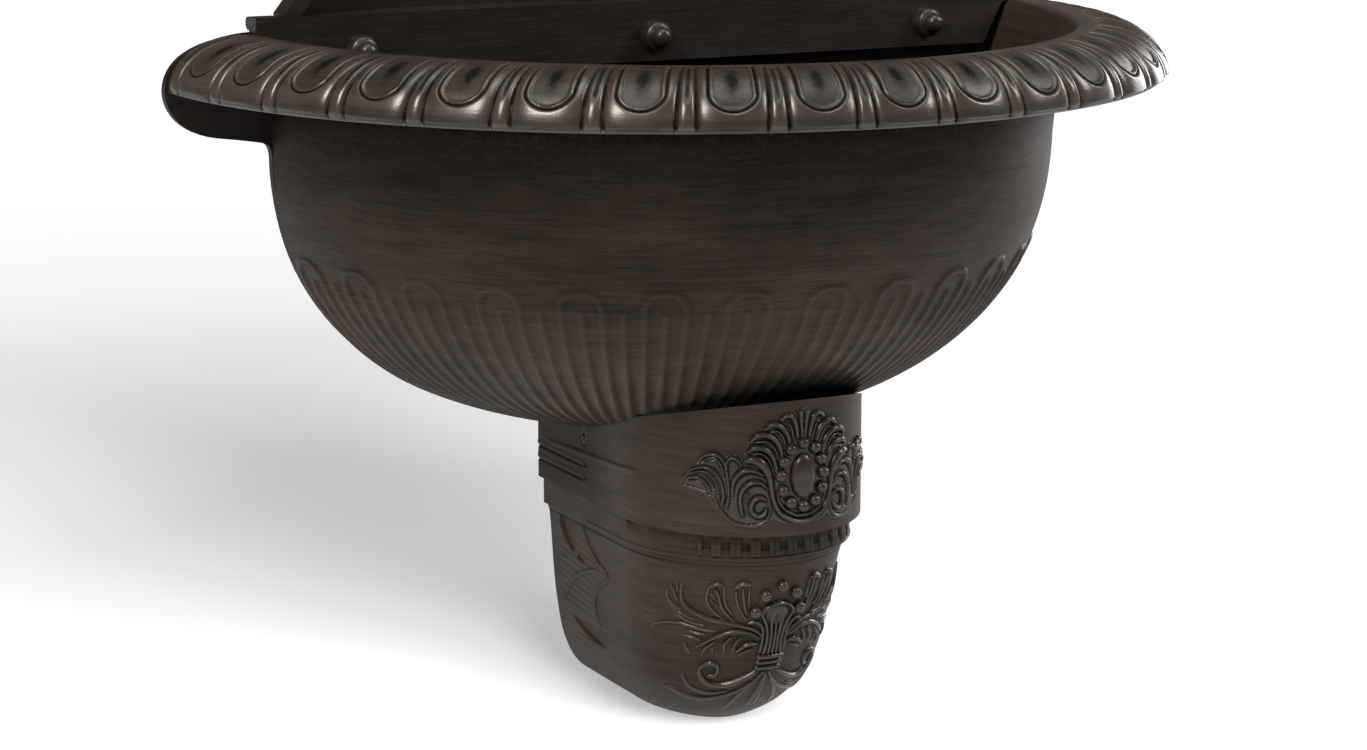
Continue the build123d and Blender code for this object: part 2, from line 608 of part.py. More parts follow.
def make_panel_hook():
    """The strip riveted to the back of the panel."""
    y0, y1, half, t = FIELD_Y + FIELD_T, WALL_GAP, CLIP_LEN / 2, CLIP_T
    flange = block(-half, half, y0, y0 + t, CLIP_Z, CLIP_Z + 26)
    jog = block(-half, half, y0, y1, CLIP_Z, CLIP_Z + t)
    lip = block(-half, half, y1 - t, y1, CLIP_Z - 17, CLIP_Z + t)
    hook = flange + jog + lip
    for x in (-80, -30, 30, 80):
        hook -= rod_y(x, CLIP_Z + 15, 2.4, y0 - 1, y0 + t + 1)
    return hook


def make_hook_rivets():
    """Rivets through the hook strip, seated on the panel's field."""
    y0, t = FIELD_Y + FIELD_T, CLIP_T
    rivets = []
    for x in (-80, -30, 30, 80):
        shank = rod_y(x, CLIP_Z + 15, 2.35, y0, y0 + t)
        head = ellipsoid((x, y0 + t, CLIP_Z + 15), (4.2, 2.2, 4.2))
        head -= block(x - 6, x + 6, y0, y0 + t, CLIP_Z, 480)
        rivets.append(shank + head)
    return rivets


def make_corbel_bar():
    """The short tube that spaces the corbel from the wall and holds it there."""
    bar = tube_bar(BAR_LEN, BAR_H, BAR_Z - BAR_H / 2)
    for x in (-BAR_LUG_X, BAR_LUG_X):
        bar -= rod_y(x, BAR_Z, BAR_SCREW_R, -1, RAIL_TUBE_T + 1)
        bar -= rod_y(x, BAR_Z, BAR_ACCESS_R, WALL_GAP - RAIL_TUBE_T - 1, WALL_GAP + 1)
    bar -= rod_y(0, BAR_Z, BAR_ACCESS_R, -1, RAIL_TUBE_T + 1)
    bar -= rod_y(0, BAR_Z, BAR_SCREW_R, WALL_GAP - RAIL_TUBE_T - 1, WALL_GAP + 1)
    return bar


def make_bar_screws():
    """Pan-head screws from the bar into the corbel's lugs."""
    screws = []
    for x in (-BAR_LUG_X, BAR_LUG_X):
        shank = rod_y(x, BAR_Z, 2.4, -11, RAIL_TUBE_T)
        head = rod_y(x, BAR_Z, 5.2, RAIL_TUBE_T, RAIL_TUBE_T + 3.6)
        screws.append(shank + head - block(x - 3, x + 3, RAIL_TUBE_T + 2, 10, BAR_Z - 0.6, BAR_Z + 0.6))
    return screws


def make_studs():
    """Threaded studs that stand out of the wall rail."""
    return [rod_y(x, NUT_Z, 5.0, -24, 12) for x in (-NUT_X, 0, NUT_X)]


def make_weld_nuts():
    """Nuts welded inside the wall rail, which hold the studs."""
    return [
        hex_y(x, NUT_Z, 17, RAIL_TUBE_T, 11) - rod_y(x, NUT_Z, 5.05, 2, 13)
        for x in (-NUT_X, 0, NUT_X)
    ]


def make_washers():
    return [
        rod_y(x, NUT_Z, 9.2, RAIL_FRONT_Y - 1.6, RAIL_FRONT_Y) - rod_y(x, NUT_Z, 5.2, -20, 0)
        for x in (-NUT_X, 0, NUT_X)
    ]


def make_acorn_nuts():
    """Domed nuts: a hexagon with its corners and front edge rounded off, and a smaller dome in front."""
    nuts = []
    face = RAIL_FRONT_Y - 1.6
    for x in (-NUT_X, 0, NUT_X):
        blank = rod_y(x, NUT_Z, 9.1, face - 7, face)
        blank = fillet(blank.edges().group_by(Axis.Y)[0], 2.4)
        nut = hex_y(x, NUT_Z, 17, face - 7, face) & blank
        nut += rod_y(x, NUT_Z, 6.3, face - 9, face - 6) + Pos(x, face - 9, NUT_Z) * Sphere(6.3)
        nuts.append(nut - rod_y(x, NUT_Z, 5.05, face - 11, face + 1))
    return nuts


# Water line

def tube_along(path, r, bore):
    """A tube swept along straight runs and tangent arcs."""
    start = Plane(origin=path @ 0, z_dir=path % 0)
    return sweep(start * Circle(r), path=path) - sweep(start * Circle(bore), path=path)


def make_lower_hose():
    path = FilletPolyline(
        (HOSE_X, NOZZLE_Y, -132), (HOSE_X, NOZZLE_Y, BULKHEAD_Z), (HOSE_X, -12, BULKHEAD_Z), radius=38,
    )
    return tube_along(path, HOSE_R, HOSE_BORE_R)


def make_upper_hose():
    path = FilletPolyline(
        (HOSE_X, HOSE_Y, BULKHEAD_Z + 10),
        (HOSE_X, HOSE_Y, 205),
        (0, HOSE_Y, 262),
        (0, HOSE_Y, SPOUT_Z - 13),
        radius=120,
    )
    return tube_along(path, HOSE_R, HOSE_BORE_R)


def make_bulkhead():
    """The elbow fitting that takes the water through the rear plate."""
    x, z = HOSE_X, BULKHEAD_Z
    body = rod_y(x, z, 15, -10.5, -7.5) + rod_y(x, z, 8, -7.5, 7) + rod_y(x, z, 6.0, 7, HOSE_Y)
    body += rod_y(x, z, BARB_R, -27, -10.5) + rod_z(x, HOSE_Y, 6.5, z - 6.5, z + 9)
    body += rod_z(x, HOSE_Y, BARB_R, z + 9, z + 25)
    return body - rod_y(x, z, WATER_R, -28, HOSE_Y) - rod_z(x, HOSE_Y, WATER_R, z, z + 26)


def ring_y(x, z, r, bore, y0, y1):
    return rod_y(x, z, r, y0, y1) - rod_y(x, z, bore, y0 - 1, y1 + 1)


def make_gland():
    """The gland that the pump's lead would leave by: a flanged body with a domed cap nut in front."""
    x, z = GLAND_X, GLAND_Z
    body = rod_y(x, z, 12, -10.5, -7.5) + rod_y(x, z, 8, -7.5, 8) + rod_y(x, z, 6.5, -16, -10.5)
    return body - rod_y(x, z, GLAND_BORE_R, -20, 9)


def make_gland_cap():
    x, z = GLAND_X, GLAND_Z
    cap = hex_y(x, z, 17, -17.5, -10.5) + ellipsoid((x, -17.5, z), (8.2, 4.5, 8.2))
    return cap - rod_y(x, z, 6.55, -16, -10) - rod_y(x, z, GLAND_BORE_R, -24, -10)


def make_clamps():
    """Screw clamps on the four hose ends."""
    clamps = []
    spots = [
        (Pos(HOSE_X, NOZZLE_Y, -126)),
        (Pos(HOSE_X, -18, BULKHEAD_Z) * Rot(90, 0, 0)),
        (Pos(HOSE_X, HOSE_Y, BULKHEAD_Z + 16) * Rot(0, 0, 180)),
        (Pos(0, HOSE_Y, SPOUT_Z - 19) * Rot(0, 0, 180)),
    ]
    for spot in spots:
        ring = Cylinder(HOSE_R + 1.1, 6.5) + Pos(-8.2, 0, 0) * Box(4.2, 8, 6.5)
        clamps.append(spot * (ring - Cylinder(HOSE_R, 9)))
    return clamps


def make_hose_clips():
    """Saddles that hold the hose to the inside of the pilaster."""
    inner = PILASTER_Y + PILASTER_T
    clips = []
    for z in (75, 122, 170):
        saddle = block(HOSE_X - 7.7, HOSE_X + 9, inner, HOSE_Y + 3, z - 5, z + 5)
        clips.append(saddle - rod_z(HOSE_X, HOSE_Y, HOSE_R, z - 6, z + 6))
    return clips


def make_spout():
    """The water pipe: straight out of the rosette, then bent down over the basin."""
    path = FilletPolyline(
        (0, 4, SPOUT_Z), (0, -SPOUT_REACH, SPOUT_Z), (0, -SPOUT_REACH, SPOUT_Z - SPOUT_DROP),
        radius=SPOUT_BEND,
    )
    pipe = tube_along(path, SPOUT_R, SPOUT_BORE_R)
    collar = Pos(0, -SPOUT_REACH, SPOUT_Z - SPOUT_DROP + 5) * (Cylinder(10, 6) - Cylinder(SPOUT_R - 0.5, 8))
    flange = ring_y(0, SPOUT_Z, 12.5, SPOUT_R - 0.5, PILASTER_Y - 15, PILASTER_Y - 12)
    return pipe + collar + flange


def make_spout_elbow():
    """The elbow behind the panel, from the hose into the pipe."""
    body = rod_z(0, HOSE_Y, 7.5, SPOUT_Z - 11, SPOUT_Z + 8) + rod_y(0, SPOUT_Z, 7.0, 4.5, HOSE_Y)
    body += rod_y(0, SPOUT_Z, SPOUT_BORE_R - 0.05, -8, 4.5)
    body += rod_z(0, HOSE_Y, BARB_R, SPOUT_Z - 28, SPOUT_Z - 11)
    return body - rod_y(0, SPOUT_Z, WATER_R, -9, HOSE_Y) - rod_z(0, HOSE_Y, WATER_R, SPOUT_Z - 29, SPOUT_Z)


# Drain

def make_drain_body():
    x, y, z = DRAIN_X, DRAIN_Y, DRAIN_SEAT_Z + 1.5
    body = rod_z(x, y, 20, z, z + 3) + rod_z(x, y, DRAIN_SHANK_R, -222, z)
    body += rod_z(x, y, DRAIN_SPIGOT_R, -238, -221)
    return body - rod_z(x, y, DRAIN_BORE_R, -240, z + 4)


def make_drain_plug():
    """The rubber bung with its pull ring."""
    x, y, top = DRAIN_X, DRAIN_Y, DRAIN_SEAT_Z + 4.5
    stem = rod_z(x, y, DRAIN_BORE_R - 0.05, top - 17, top + PLUG_GAP)
    cap = rod_z(x, y, 12.5, top + PLUG_GAP, top + 3.8) + rod_z(x, y, 4, top + 3.8, top + 8)
    ring = Pos(x, y, top + 15) * Rot(90, 0, 0) * Torus(8, 1.4)
    return stem + cap + ring


# Pump

def make_pump_housing():
    """The pump's case: a wet chamber in front, a sealed motor space behind and the rotor well between."""
    x0, x1 = PUMP_X - PUMP_W / 2, PUMP_X + PUMP_W / 2
    y0, y1 = PUMP_Y - PUMP_L / 2, PUMP_Y + PUMP_L / 2
    z0, z1 = PUMP_BOTTOM_Z, PUMP_BOTTOM_Z + PUMP_H
    t = PUMP_WALL
    wall_y = y0 + 22
    case = block(x0, x1, y0, y1, z0, z1)
    case = fillet(case.edges().filter_by(Axis.Y), 7)
    case = fillet(case.faces().sort_by(Axis.Y)[-1].edges(), 4)
    case -= block(x0 + t, x1 - t, y0 - 1, wall_y, z0 + t, z1 - t)
    case -= block(x0 + t + 2, x1 - t - 2, wall_y + t, y1 - t, z0 + t + 2, z1 - t - 2)
    case += rod_y(PUMP_X, PUMP_AXIS_Z, 9.5, wall_y, y1 - 6)
    case += ring_y(PUMP_X, PUMP_AXIS_Z, 17, 15, y0 + 7, wall_y)
    case -= rod_y(PUMP_X, PUMP_AXIS_Z, 8, wall_y - 1, y1 - 8)
    case -= rod_y(PUMP_X, PUMP_AXIS_Z, 1.3, y1 - 9, y1 - 6.8)
    port = rod_z(PUMP_X, NOZZLE_Y, 6.0, z1 - t, z1 + 4)
    port += rod_z(PUMP_X, NOZZLE_Y, 6.5, PUMP_AXIS_Z + 15.5, z1)
    return case + port - rod_z(PUMP_X, NOZZLE_Y, 4.5, PUMP_AXIS_Z + 10, z1 + 5)


def make_pump_cover():
    """The removable front with its ring of inlet slots."""
    x0, x1 = PUMP_X - PUMP_W / 2, PUMP_X + PUMP_W / 2
    y0 = PUMP_Y - PUMP_L / 2
    z0, z1 = PUMP_BOTTOM_Z, PUMP_BOTTOM_Z + PUMP_H
    cover = block(x0, x1, y0 - 4, y0, z0, z1)
    cover = fillet(cover.edges().filter_by(Axis.Y), 7)
    t = PUMP_WALL + 0.2
    rim = block(x0 + t, x1 - t, y0, y0 + 3, z0 + t, z1 - t)
    rim -= block(x0 + t + 2, x1 - t - 2, y0 - 1, y0 + 4, z0 + t + 2, z1 - t - 2)
    cover += rim
    for i in range(10):
        slot = Pos(0, 0, 13.5) * Box(2.6, 12, 10)
        cover -= Pos(PUMP_X, y0 - 2, PUMP_AXIS_Z) * Rot(0, 36 * i, 0) * slot
    return cover - rod_y(PUMP_X, PUMP_AXIS_Z, 3.0, y0 - 6, y0 + 1)


def make_flow_dial():
    """The shutter that turns over the inlet slots, with a finger bar."""
    y = PUMP_Y - PUMP_L / 2 - 4.3
    dial = rod_y(PUMP_X, PUMP_AXIS_Z, 19.5, y - 2.4, y)
    for i in range(5):
        dial -= Pos(PUMP_X, y - 1, PUMP_AXIS_Z) * Rot(0, 72 * i, 0) * Pos(0, 0, 13.5) * Box(7, 6, 9.5)
    bar = block(PUMP_X - 2, PUMP_X + 2, y - 7, y - 2.4, PUMP_AXIS_Z - 8, PUMP_AXIS_Z + 8)
    return dial + bar + rod_y(PUMP_X, PUMP_AXIS_Z, 2.95, y, y + 5.2)


def make_pump_filter():
    y0 = PUMP_Y - PUMP_L / 2
    return block(PUMP_X - 21, PUMP_X + 21, y0 + 1.6, y0 + 4.4, PUMP_AXIS_Z - 17, PUMP_AXIS_Z + 17)


def make_volute_cover():
    """The chamber lid, with the inlet eye and a spider that holds the shaft."""
    y = PUMP_Y - PUMP_L / 2 + 5
    lid = rod_y(PUMP_X, PUMP_AXIS_Z, 17, y, y + 2) - rod_y(PUMP_X, PUMP_AXIS_Z, 6.5, y - 1, y + 3)
    for i in range(3):
        spoke = Pos(PUMP_X, y + 1, PUMP_AXIS_Z) * Rot(0, 120 * i, 0) * Pos(0, 0, 4.5) * Box(1.6, 2, 6)
        lid += spoke
    lid += rod_y(PUMP_X, PUMP_AXIS_Z, 2.8, y, y + 2)
    lid -= rod_z(PUMP_X, NOZZLE_Y, 6.6, PUMP_AXIS_Z + 10, PUMP_AXIS_Z + 20)
    return lid - rod_y(PUMP_X, PUMP_AXIS_Z, 1.3, y - 1, y + 3)


def make_impeller():
    """The magnet rotor with its vanes, on one bore."""
    y = PUMP_Y - PUMP_L / 2 + 9
    rotor = rod_y(PUMP_X, PUMP_AXIS_Z, 6.6, y + 8, PUMP_Y + PUMP_L / 2 - 9)
    rotor += rod_y(PUMP_X, PUMP_AXIS_Z, 3.4, y, y + 8)
    for i in range(6):
        vane = Pos(PUMP_X, y + 3.5, PUMP_AXIS_Z) * Rot(0, 60 * i, 0) * Pos(0, 0, 7.5) * Box(1.4, 7, 10)
        rotor += vane
    rotor += rod_y(PUMP_X, PUMP_AXIS_Z, 12.5, y + 6, y + 8)
    return rotor - rod_y(PUMP_X, PUMP_AXIS_Z, 1.3, y - 1, PUMP_Y + PUMP_L / 2)


def make_pump_shaft():
    return rod_y(PUMP_X, PUMP_AXIS_Z, 1.25, PUMP_Y - PUMP_L / 2 + 5.2, PUMP_Y + PUMP_L / 2 - 7)


def make_stator():
    """The sealed core and winding round the rotor well."""
    y0, y1 = PUMP_Y - PUMP_L / 2 + 26.5, PUMP_Y + PUMP_L / 2 - 4
    core = block(PUMP_X - 20, PUMP_X + 20, y0, y1, PUMP_AXIS_Z - 17, PUMP_AXIS_Z + 17)
    return core - rod_y(PUMP_X, PUMP_AXIS_Z, 9.7, y0 - 1, y1 + 1)


def make_nozzle():
    """The hose barb screwed into the pump's outlet."""
    z = PUMP_BOTTOM_Z + PUMP_H + 4
    body = rod_z(PUMP_X, NOZZLE_Y, 8, z, z + 3) + rod_z(PUMP_X, NOZZLE_Y, BARB_R, z - 8, z + 20)
    return body - rod_z(PUMP_X, NOZZLE_Y, WATER_R, z - 9, z + 21)


def make_pump_lead_gland():
    """The blind inlet where the pump's lead would enter the motor space."""
    y1 = PUMP_Y + PUMP_L / 2
    x, z = PUMP_X + 14, PUMP_AXIS_Z + 10
    gland = rod_y(x, z, 5.5, y1, y1 + 3) + rod_y(x, z, 4.6, y1 + 3, y1 + 11)
    return gland - rod_y(x, z, 3.2, y1 + 2, y1 + 12)


def make_feet():
    """Four suction feet, each as long as the bowl's slope needs."""
    feet = []
    floor = bowl_inner()
    for dx in (-19, 19):
        for dy in (-16, 16):
            x, y = PUMP_X + dx, PUMP_Y + dy
            stem = rod_z(x, y, 4, -230, PUMP_BOTTOM_Z)
            cup = rod_z(x, y, 8.5, -230, PUMP_BOTTOM_Z - 5)
            feet.append((stem + cup) & floor)
    return feet


# Export
os.makedirs("parts", exist_ok=True)

save("basin_rim", make_rim())
save("basin_bowl", make_bowl())
save("basin_back_plate", make_back_plate())
save("corbel_collar", make_collar())
save("corbel_drop", make_drop())
save("cartouche_ornament", make_cartouche())
save("lily_ornament", make_lily())
save("corbel_side_screws", *make_side_screws())
save("back_panel", make_panel())
save("panel_crest", make_crest())
save("spout_rosette", make_rosette())
save("spout_pipe", make_spout())
save("spout_elbow", make_spout_elbow())
save("spout_locknut", hex_y(0, SPOUT_Z, 22, 1.2, 4.2) - rod_y(0, SPOUT_Z, SPOUT_R + 0.05, 0, 5))
save("wall_rail", make_wall_rail())
save("rail_weld_nuts", *make_weld_nuts())
save("rail_studs", *make_studs())
save("stud_washers", *make_washers())
save("acorn_nuts", *make_acorn_nuts())
save("wall_clip", make_wall_clip())
save("panel_hook", make_panel_hook())
save("hook_rivets", *make_hook_rivets())
save("corbel_wall_bar", make_corbel_bar())
save("corbel_bar_screws", *make_bar_screws())
save("supply_hose_lower", make_lower_hose())
save("supply_hose_upper", make_upper_hose())
save("hose_clamps", *make_clamps())
save("hose_clips", *make_hose_clips())
save("bulkhead_elbow", make_bulkhead())
save("bulkhead_seal", ring_y(HOSE_X, BULKHEAD_Z, 14, 8.2, -7.5, -6))
save("bulkhead_nut", hex_y(HOSE_X, BULKHEAD_Z, 24, 0, 5) - rod_y(HOSE_X, BULKHEAD_Z, 8.05, -1, 6))
save("lead_gland", make_gland())
save("lead_gland_cap", make_gland_cap())
save("lead_gland_seal", ring_y(GLAND_X, GLAND_Z, 11.5, 8.2, -7.5, -6))
save("lead_gland_nut", hex_y(GLAND_X, GLAND_Z, 24, 0, 5) - rod_y(GLAND_X, GLAND_Z, 8.05, -1, 6))
save("drain_body", make_drain_body())
save("drain_seal", rod_z(DRAIN_X, DRAIN_Y, 19, -202, -200.5) - rod_z(DRAIN_X, DRAIN_Y, 12.0, -203, -200))
drain_nut = hex_z(DRAIN_X, DRAIN_Y, 36, -221, DRAIN_UNDER_Z)
save("drain_nut", drain_nut - rod_z(DRAIN_X, DRAIN_Y, 11.95, -222, -214))
save("drain_plug", make_drain_plug())
save("pump_housing", make_pump_housing())
save("pump_cover", make_pump_cover())
save("pump_flow_dial", make_flow_dial())
save("pump_filter", make_pump_filter())
save("volute_cover", make_volute_cover())
save("impeller_rotor", make_impeller())
save("pump_shaft", make_pump_shaft())
save("pump_stator", make_stator())
save("pump_nozzle", make_nozzle())
save("pump_lead_gland", make_pump_lead_gland())
save("pump_feet", *make_feet())
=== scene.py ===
import json
from math import cos, pi, radians, sin

import bmesh
import bpy
import numpy as np
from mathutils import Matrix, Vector


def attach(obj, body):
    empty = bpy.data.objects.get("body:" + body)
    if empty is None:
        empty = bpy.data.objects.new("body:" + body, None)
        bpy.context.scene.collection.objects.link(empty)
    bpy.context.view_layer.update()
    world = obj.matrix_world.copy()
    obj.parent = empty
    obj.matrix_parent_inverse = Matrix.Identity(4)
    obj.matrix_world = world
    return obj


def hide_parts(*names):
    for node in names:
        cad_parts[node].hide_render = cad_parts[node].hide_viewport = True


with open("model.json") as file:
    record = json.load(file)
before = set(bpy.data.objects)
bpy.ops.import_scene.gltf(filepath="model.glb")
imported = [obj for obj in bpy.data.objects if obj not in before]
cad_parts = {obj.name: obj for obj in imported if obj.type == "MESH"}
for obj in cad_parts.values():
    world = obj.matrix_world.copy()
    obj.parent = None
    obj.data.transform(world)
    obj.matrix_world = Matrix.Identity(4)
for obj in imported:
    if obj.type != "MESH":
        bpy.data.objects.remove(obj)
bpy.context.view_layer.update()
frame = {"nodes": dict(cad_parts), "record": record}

scene = bpy.context.scene
frame_slot = {part["node"]: part["material_slot"] for part in frame["record"]["subparts"]}

# Lengths below are in mm. The castings' rear plane is at Y = 0 here, and place() moves it 26 mm off the wall.
GAP = 26.0
BODY = "fountain"


def place(points):
    """From mm in the castings' frame to metres in the shared frame."""
    return (np.asarray(points, float) - (0.0, GAP, 0.0)) * 0.001


def smooth(x, a, b):
    """0 below a, 1 above b, smooth between."""
    t = np.clip((x - a) / (b - a), 0.0, 1.0)
    return t * t * (3.0 - 2.0 * t)


def bump(x, w):
    """1 where x is 0, and next to nothing from twice the width w on."""
    return np.exp(-((x / w) ** 2))


def curve(points, step):
    """Points along a smooth line through the given ones. The step counts in their first two columns."""
    p = np.asarray(points, float)
    p = np.vstack([2 * p[0] - p[1], p, 2 * p[-1] - p[-2]])
    out = []
    for i in range(1, len(p) - 2):
        n = max(int(np.ceil(np.linalg.norm(p[i + 1, :2] - p[i, :2]) / step)), 2)
        t = np.linspace(0, 1, n, endpoint=False)[:, None]
        a, b, c, d = p[i - 1], p[i], p[i + 1], p[i + 2]
        square = 2 * a - 5 * b + 4 * c - d
        cube = 3 * b - a - 3 * c + d
        out.append(0.5 * (2 * b + (c - a) * t + square * t ** 2 + cube * t ** 3))
    out.append(p[-2][None])
    return np.vstack(out)


# Mesh building

# Points closer than WELD are joined, and edges shorter than SLIVER go. Both are in metres.
WELD = 2e-5
SLIVER = 1e-6
# Points round a turned piece.
TURN_POINTS = 96


def grid_faces(rows, cols, first=0, closed=False):
    """Quads over rows of points. The last row joins the first one where closed is set."""
    row = np.arange(rows if closed else rows - 1)[:, None]
    col = np.arange(cols - 1)[None, :]
    here = first + row * cols + col
    below = first + ((row + 1) % rows) * cols + col
    return np.stack([here, here + 1, below + 1, below], -1).reshape(-1, 4)


def closed_shell(outer, inner, shade):
    """Points, quads, end polygons, and wear with painted shade, of a swept shell, from its outer rows and its
    inner rows back.
    """
    rows = np.vstack([outer, inner])
    count, cols = rows.shape[:2]
    left = [row * cols for row in range(count)]
    right = [row * cols + cols - 1 for row in reversed(range(count))]
    worn_and_shaded = np.vstack([shade, np.zeros(inner.shape[:2])])
    return rows.reshape(-1, 3), grid_faces(count, cols, closed=True), [left, right], worn_and_shaded.ravel()


def make_object(name, node, material, points, quads, polys=(), worn_and_shaded=None, sharp=None):
    """A closed mesh that stands for a CAD node, with a value of wear, painted shade and painted highlight at
    each point. sharp is in degrees.
    """
    mesh = bpy.data.meshes.new(name)
    mesh.vertices.add(len(points))
    mesh.vertices.foreach_set("co", place(points).astype(np.float32).ravel())
    loops = np.concatenate([quads.ravel()] + [np.array(poly) for poly in polys])
    mesh.loops.add(len(loops))
    mesh.loops.foreach_set("vertex_index", loops.astype(np.int32))
    sizes = np.array([4] * len(quads) + [len(poly) for poly in polys])
    mesh.polygons.add(len(sizes))
    mesh.polygons.foreach_set("loop_start", (np.cumsum(sizes) - sizes).astype(np.int32))
    mesh.update(calc_edges=True)
    if worn_and_shaded is not None:
        layer = mesh.attributes.new("wear_and_shade", "FLOAT", "POINT")
        layer.data.foreach_set("value", worn_and_shaded.astype(np.float32))
    mesh.validate()
    obj = bpy.data.objects.new(name, mesh)
    scene.collection.objects.link(obj)
    welded = bmesh.new()
    welded.from_mesh(mesh)
    bmesh.ops.remove_doubles(welded, verts=welded.verts, dist=WELD)
    bmesh.ops.dissolve_degenerate(welded, edges=welded.edges, dist=SLIVER)
    bmesh.ops.recalc_face_normals(welded, faces=welded.faces)
    welded.to_mesh(mesh)
    welded.free()
    mesh.polygons.foreach_set("use_smooth", np.ones(len(mesh.polygons), bool))
    if sharp:
        mesh.set_sharp_from_angle(angle=radians(sharp))
    mesh.update()
    mesh.materials.append(material)
    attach(obj, BODY)
    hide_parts(node)


def push(points, heights, downward=True):
    """A grid of points moved outwards, and its normals. Its rows run down the outside, or else up."""
    dr = np.gradient(points, axis=0)
    dc = np.gradient(points, axis=1)
    normal = np.cross(dr, dc) if downward else np.cross(dc, dr)
    normal /= np.maximum(np.linalg.norm(normal, axis=-1, keepdims=True), 1e-9)
    return points + normal * heights[..., None], normal


def blur(grid, passes):
    out = grid.astype(float).copy()
    for _ in range(passes):
        pad = np.pad(out, 1, mode="edge")
        out = (pad[:-2, 1:-1] + pad[2:, 1:-1] + pad[1:-1, :-2] + pad[1:-1, 2:] + 2 * out) / 6.0
    return out


def wear_and_shade(heights, passes, scale=1.0):
    """Positive on ridges and negative in hollows."""
    return (heights - blur(heights, passes)) * scale


# Materials

WHITE = (1.0, 1.0, 1.0)


def new_material(name):
    material = bpy.data.materials.new(name)
    material.use_nodes = True
    tree = material.node_tree
    return material, tree, tree.nodes["Principled BSDF"]


def ramp(tree, source, stops):
    node = tree.nodes.new("ShaderNodeValToRGB")
    tree.links.new(source, node.inputs["Fac"])
    elements = node.color_ramp.elements
    while len(elements) < len(stops):
        elements.new(0.5)
    for element, (at, colour) in zip(elements, stops):
        element.position = at
        element.color = (*colour, 1.0)
    return node.outputs["Color"]


def math_node(tree, operation, a, b):
    node = tree.nodes.new("ShaderNodeMath")
    node.operation = operation
    for slot, value in zip(node.inputs, (a, b)):
        if isinstance(value, (int, float)):
            slot.default_value = value
        else:
            tree.links.new(value, slot)
    return node.outputs[0]


def times(tree, a, b):
    return math_node(tree, "MULTIPLY", a, b)


def plus(tree, a, b):
    return math_node(tree, "ADD", a, b)


def scaled(tree, value, factor, offset):
    return plus(tree, times(tree, value, factor), offset)


def limited(tree, value, high):
    """A value held between 0 and high."""
    return math_node(tree, "MINIMUM", math_node(tree, "MAXIMUM", value, 0.0), high)


def mix_colours(tree, factor, a, b, blend="MIX"):
    node = tree.nodes.new("ShaderNodeMix")
    node.data_type = "RGBA"
    node.blend_type = blend
    factor_in, a_in, b_in, colour_out = node.inputs[0], node.inputs[6], node.inputs[7], node.outputs[2]
    for slot, value in ((factor_in, factor), (a_in, a), (b_in, b)):
        if isinstance(value, (int, float)):
            slot.default_value = value
        elif isinstance(value, tuple):
            slot.default_value = (*value, 1.0)
        else:
            tree.links.new(value, slot)
    return colour_out


def noise(tree, flatten, size, detail, rough):
    """Noise in the object's own space, flattened in height."""
    coords = tree.nodes.new("ShaderNodeTexCoord")
    mapping = tree.nodes.new("ShaderNodeMapping")
    mapping.inputs["Scale"].default_value = (1, 1, flatten)
    tree.links.new(coords.outputs["Object"], mapping.inputs["Vector"])
    node = tree.nodes.new("ShaderNodeTexNoise")
    for key, value in (("Scale", size), ("Detail", detail), ("Roughness", rough)):
        node.inputs[key].default_value = value
    tree.links.new(mapping.outputs["Vector"], node.inputs["Vector"])
    return node.outputs["Fac"]


def add_grain(tree, shader, height, strength, distance):
    node = tree.nodes.new("ShaderNodeBump")
    node.inputs["Strength"].default_value = strength
    node.inputs["Distance"].default_value = distance
    tree.links.new(height, node.inputs["Height"])
    tree.links.new(node.outputs["Normal"], shader.inputs["Normal"])


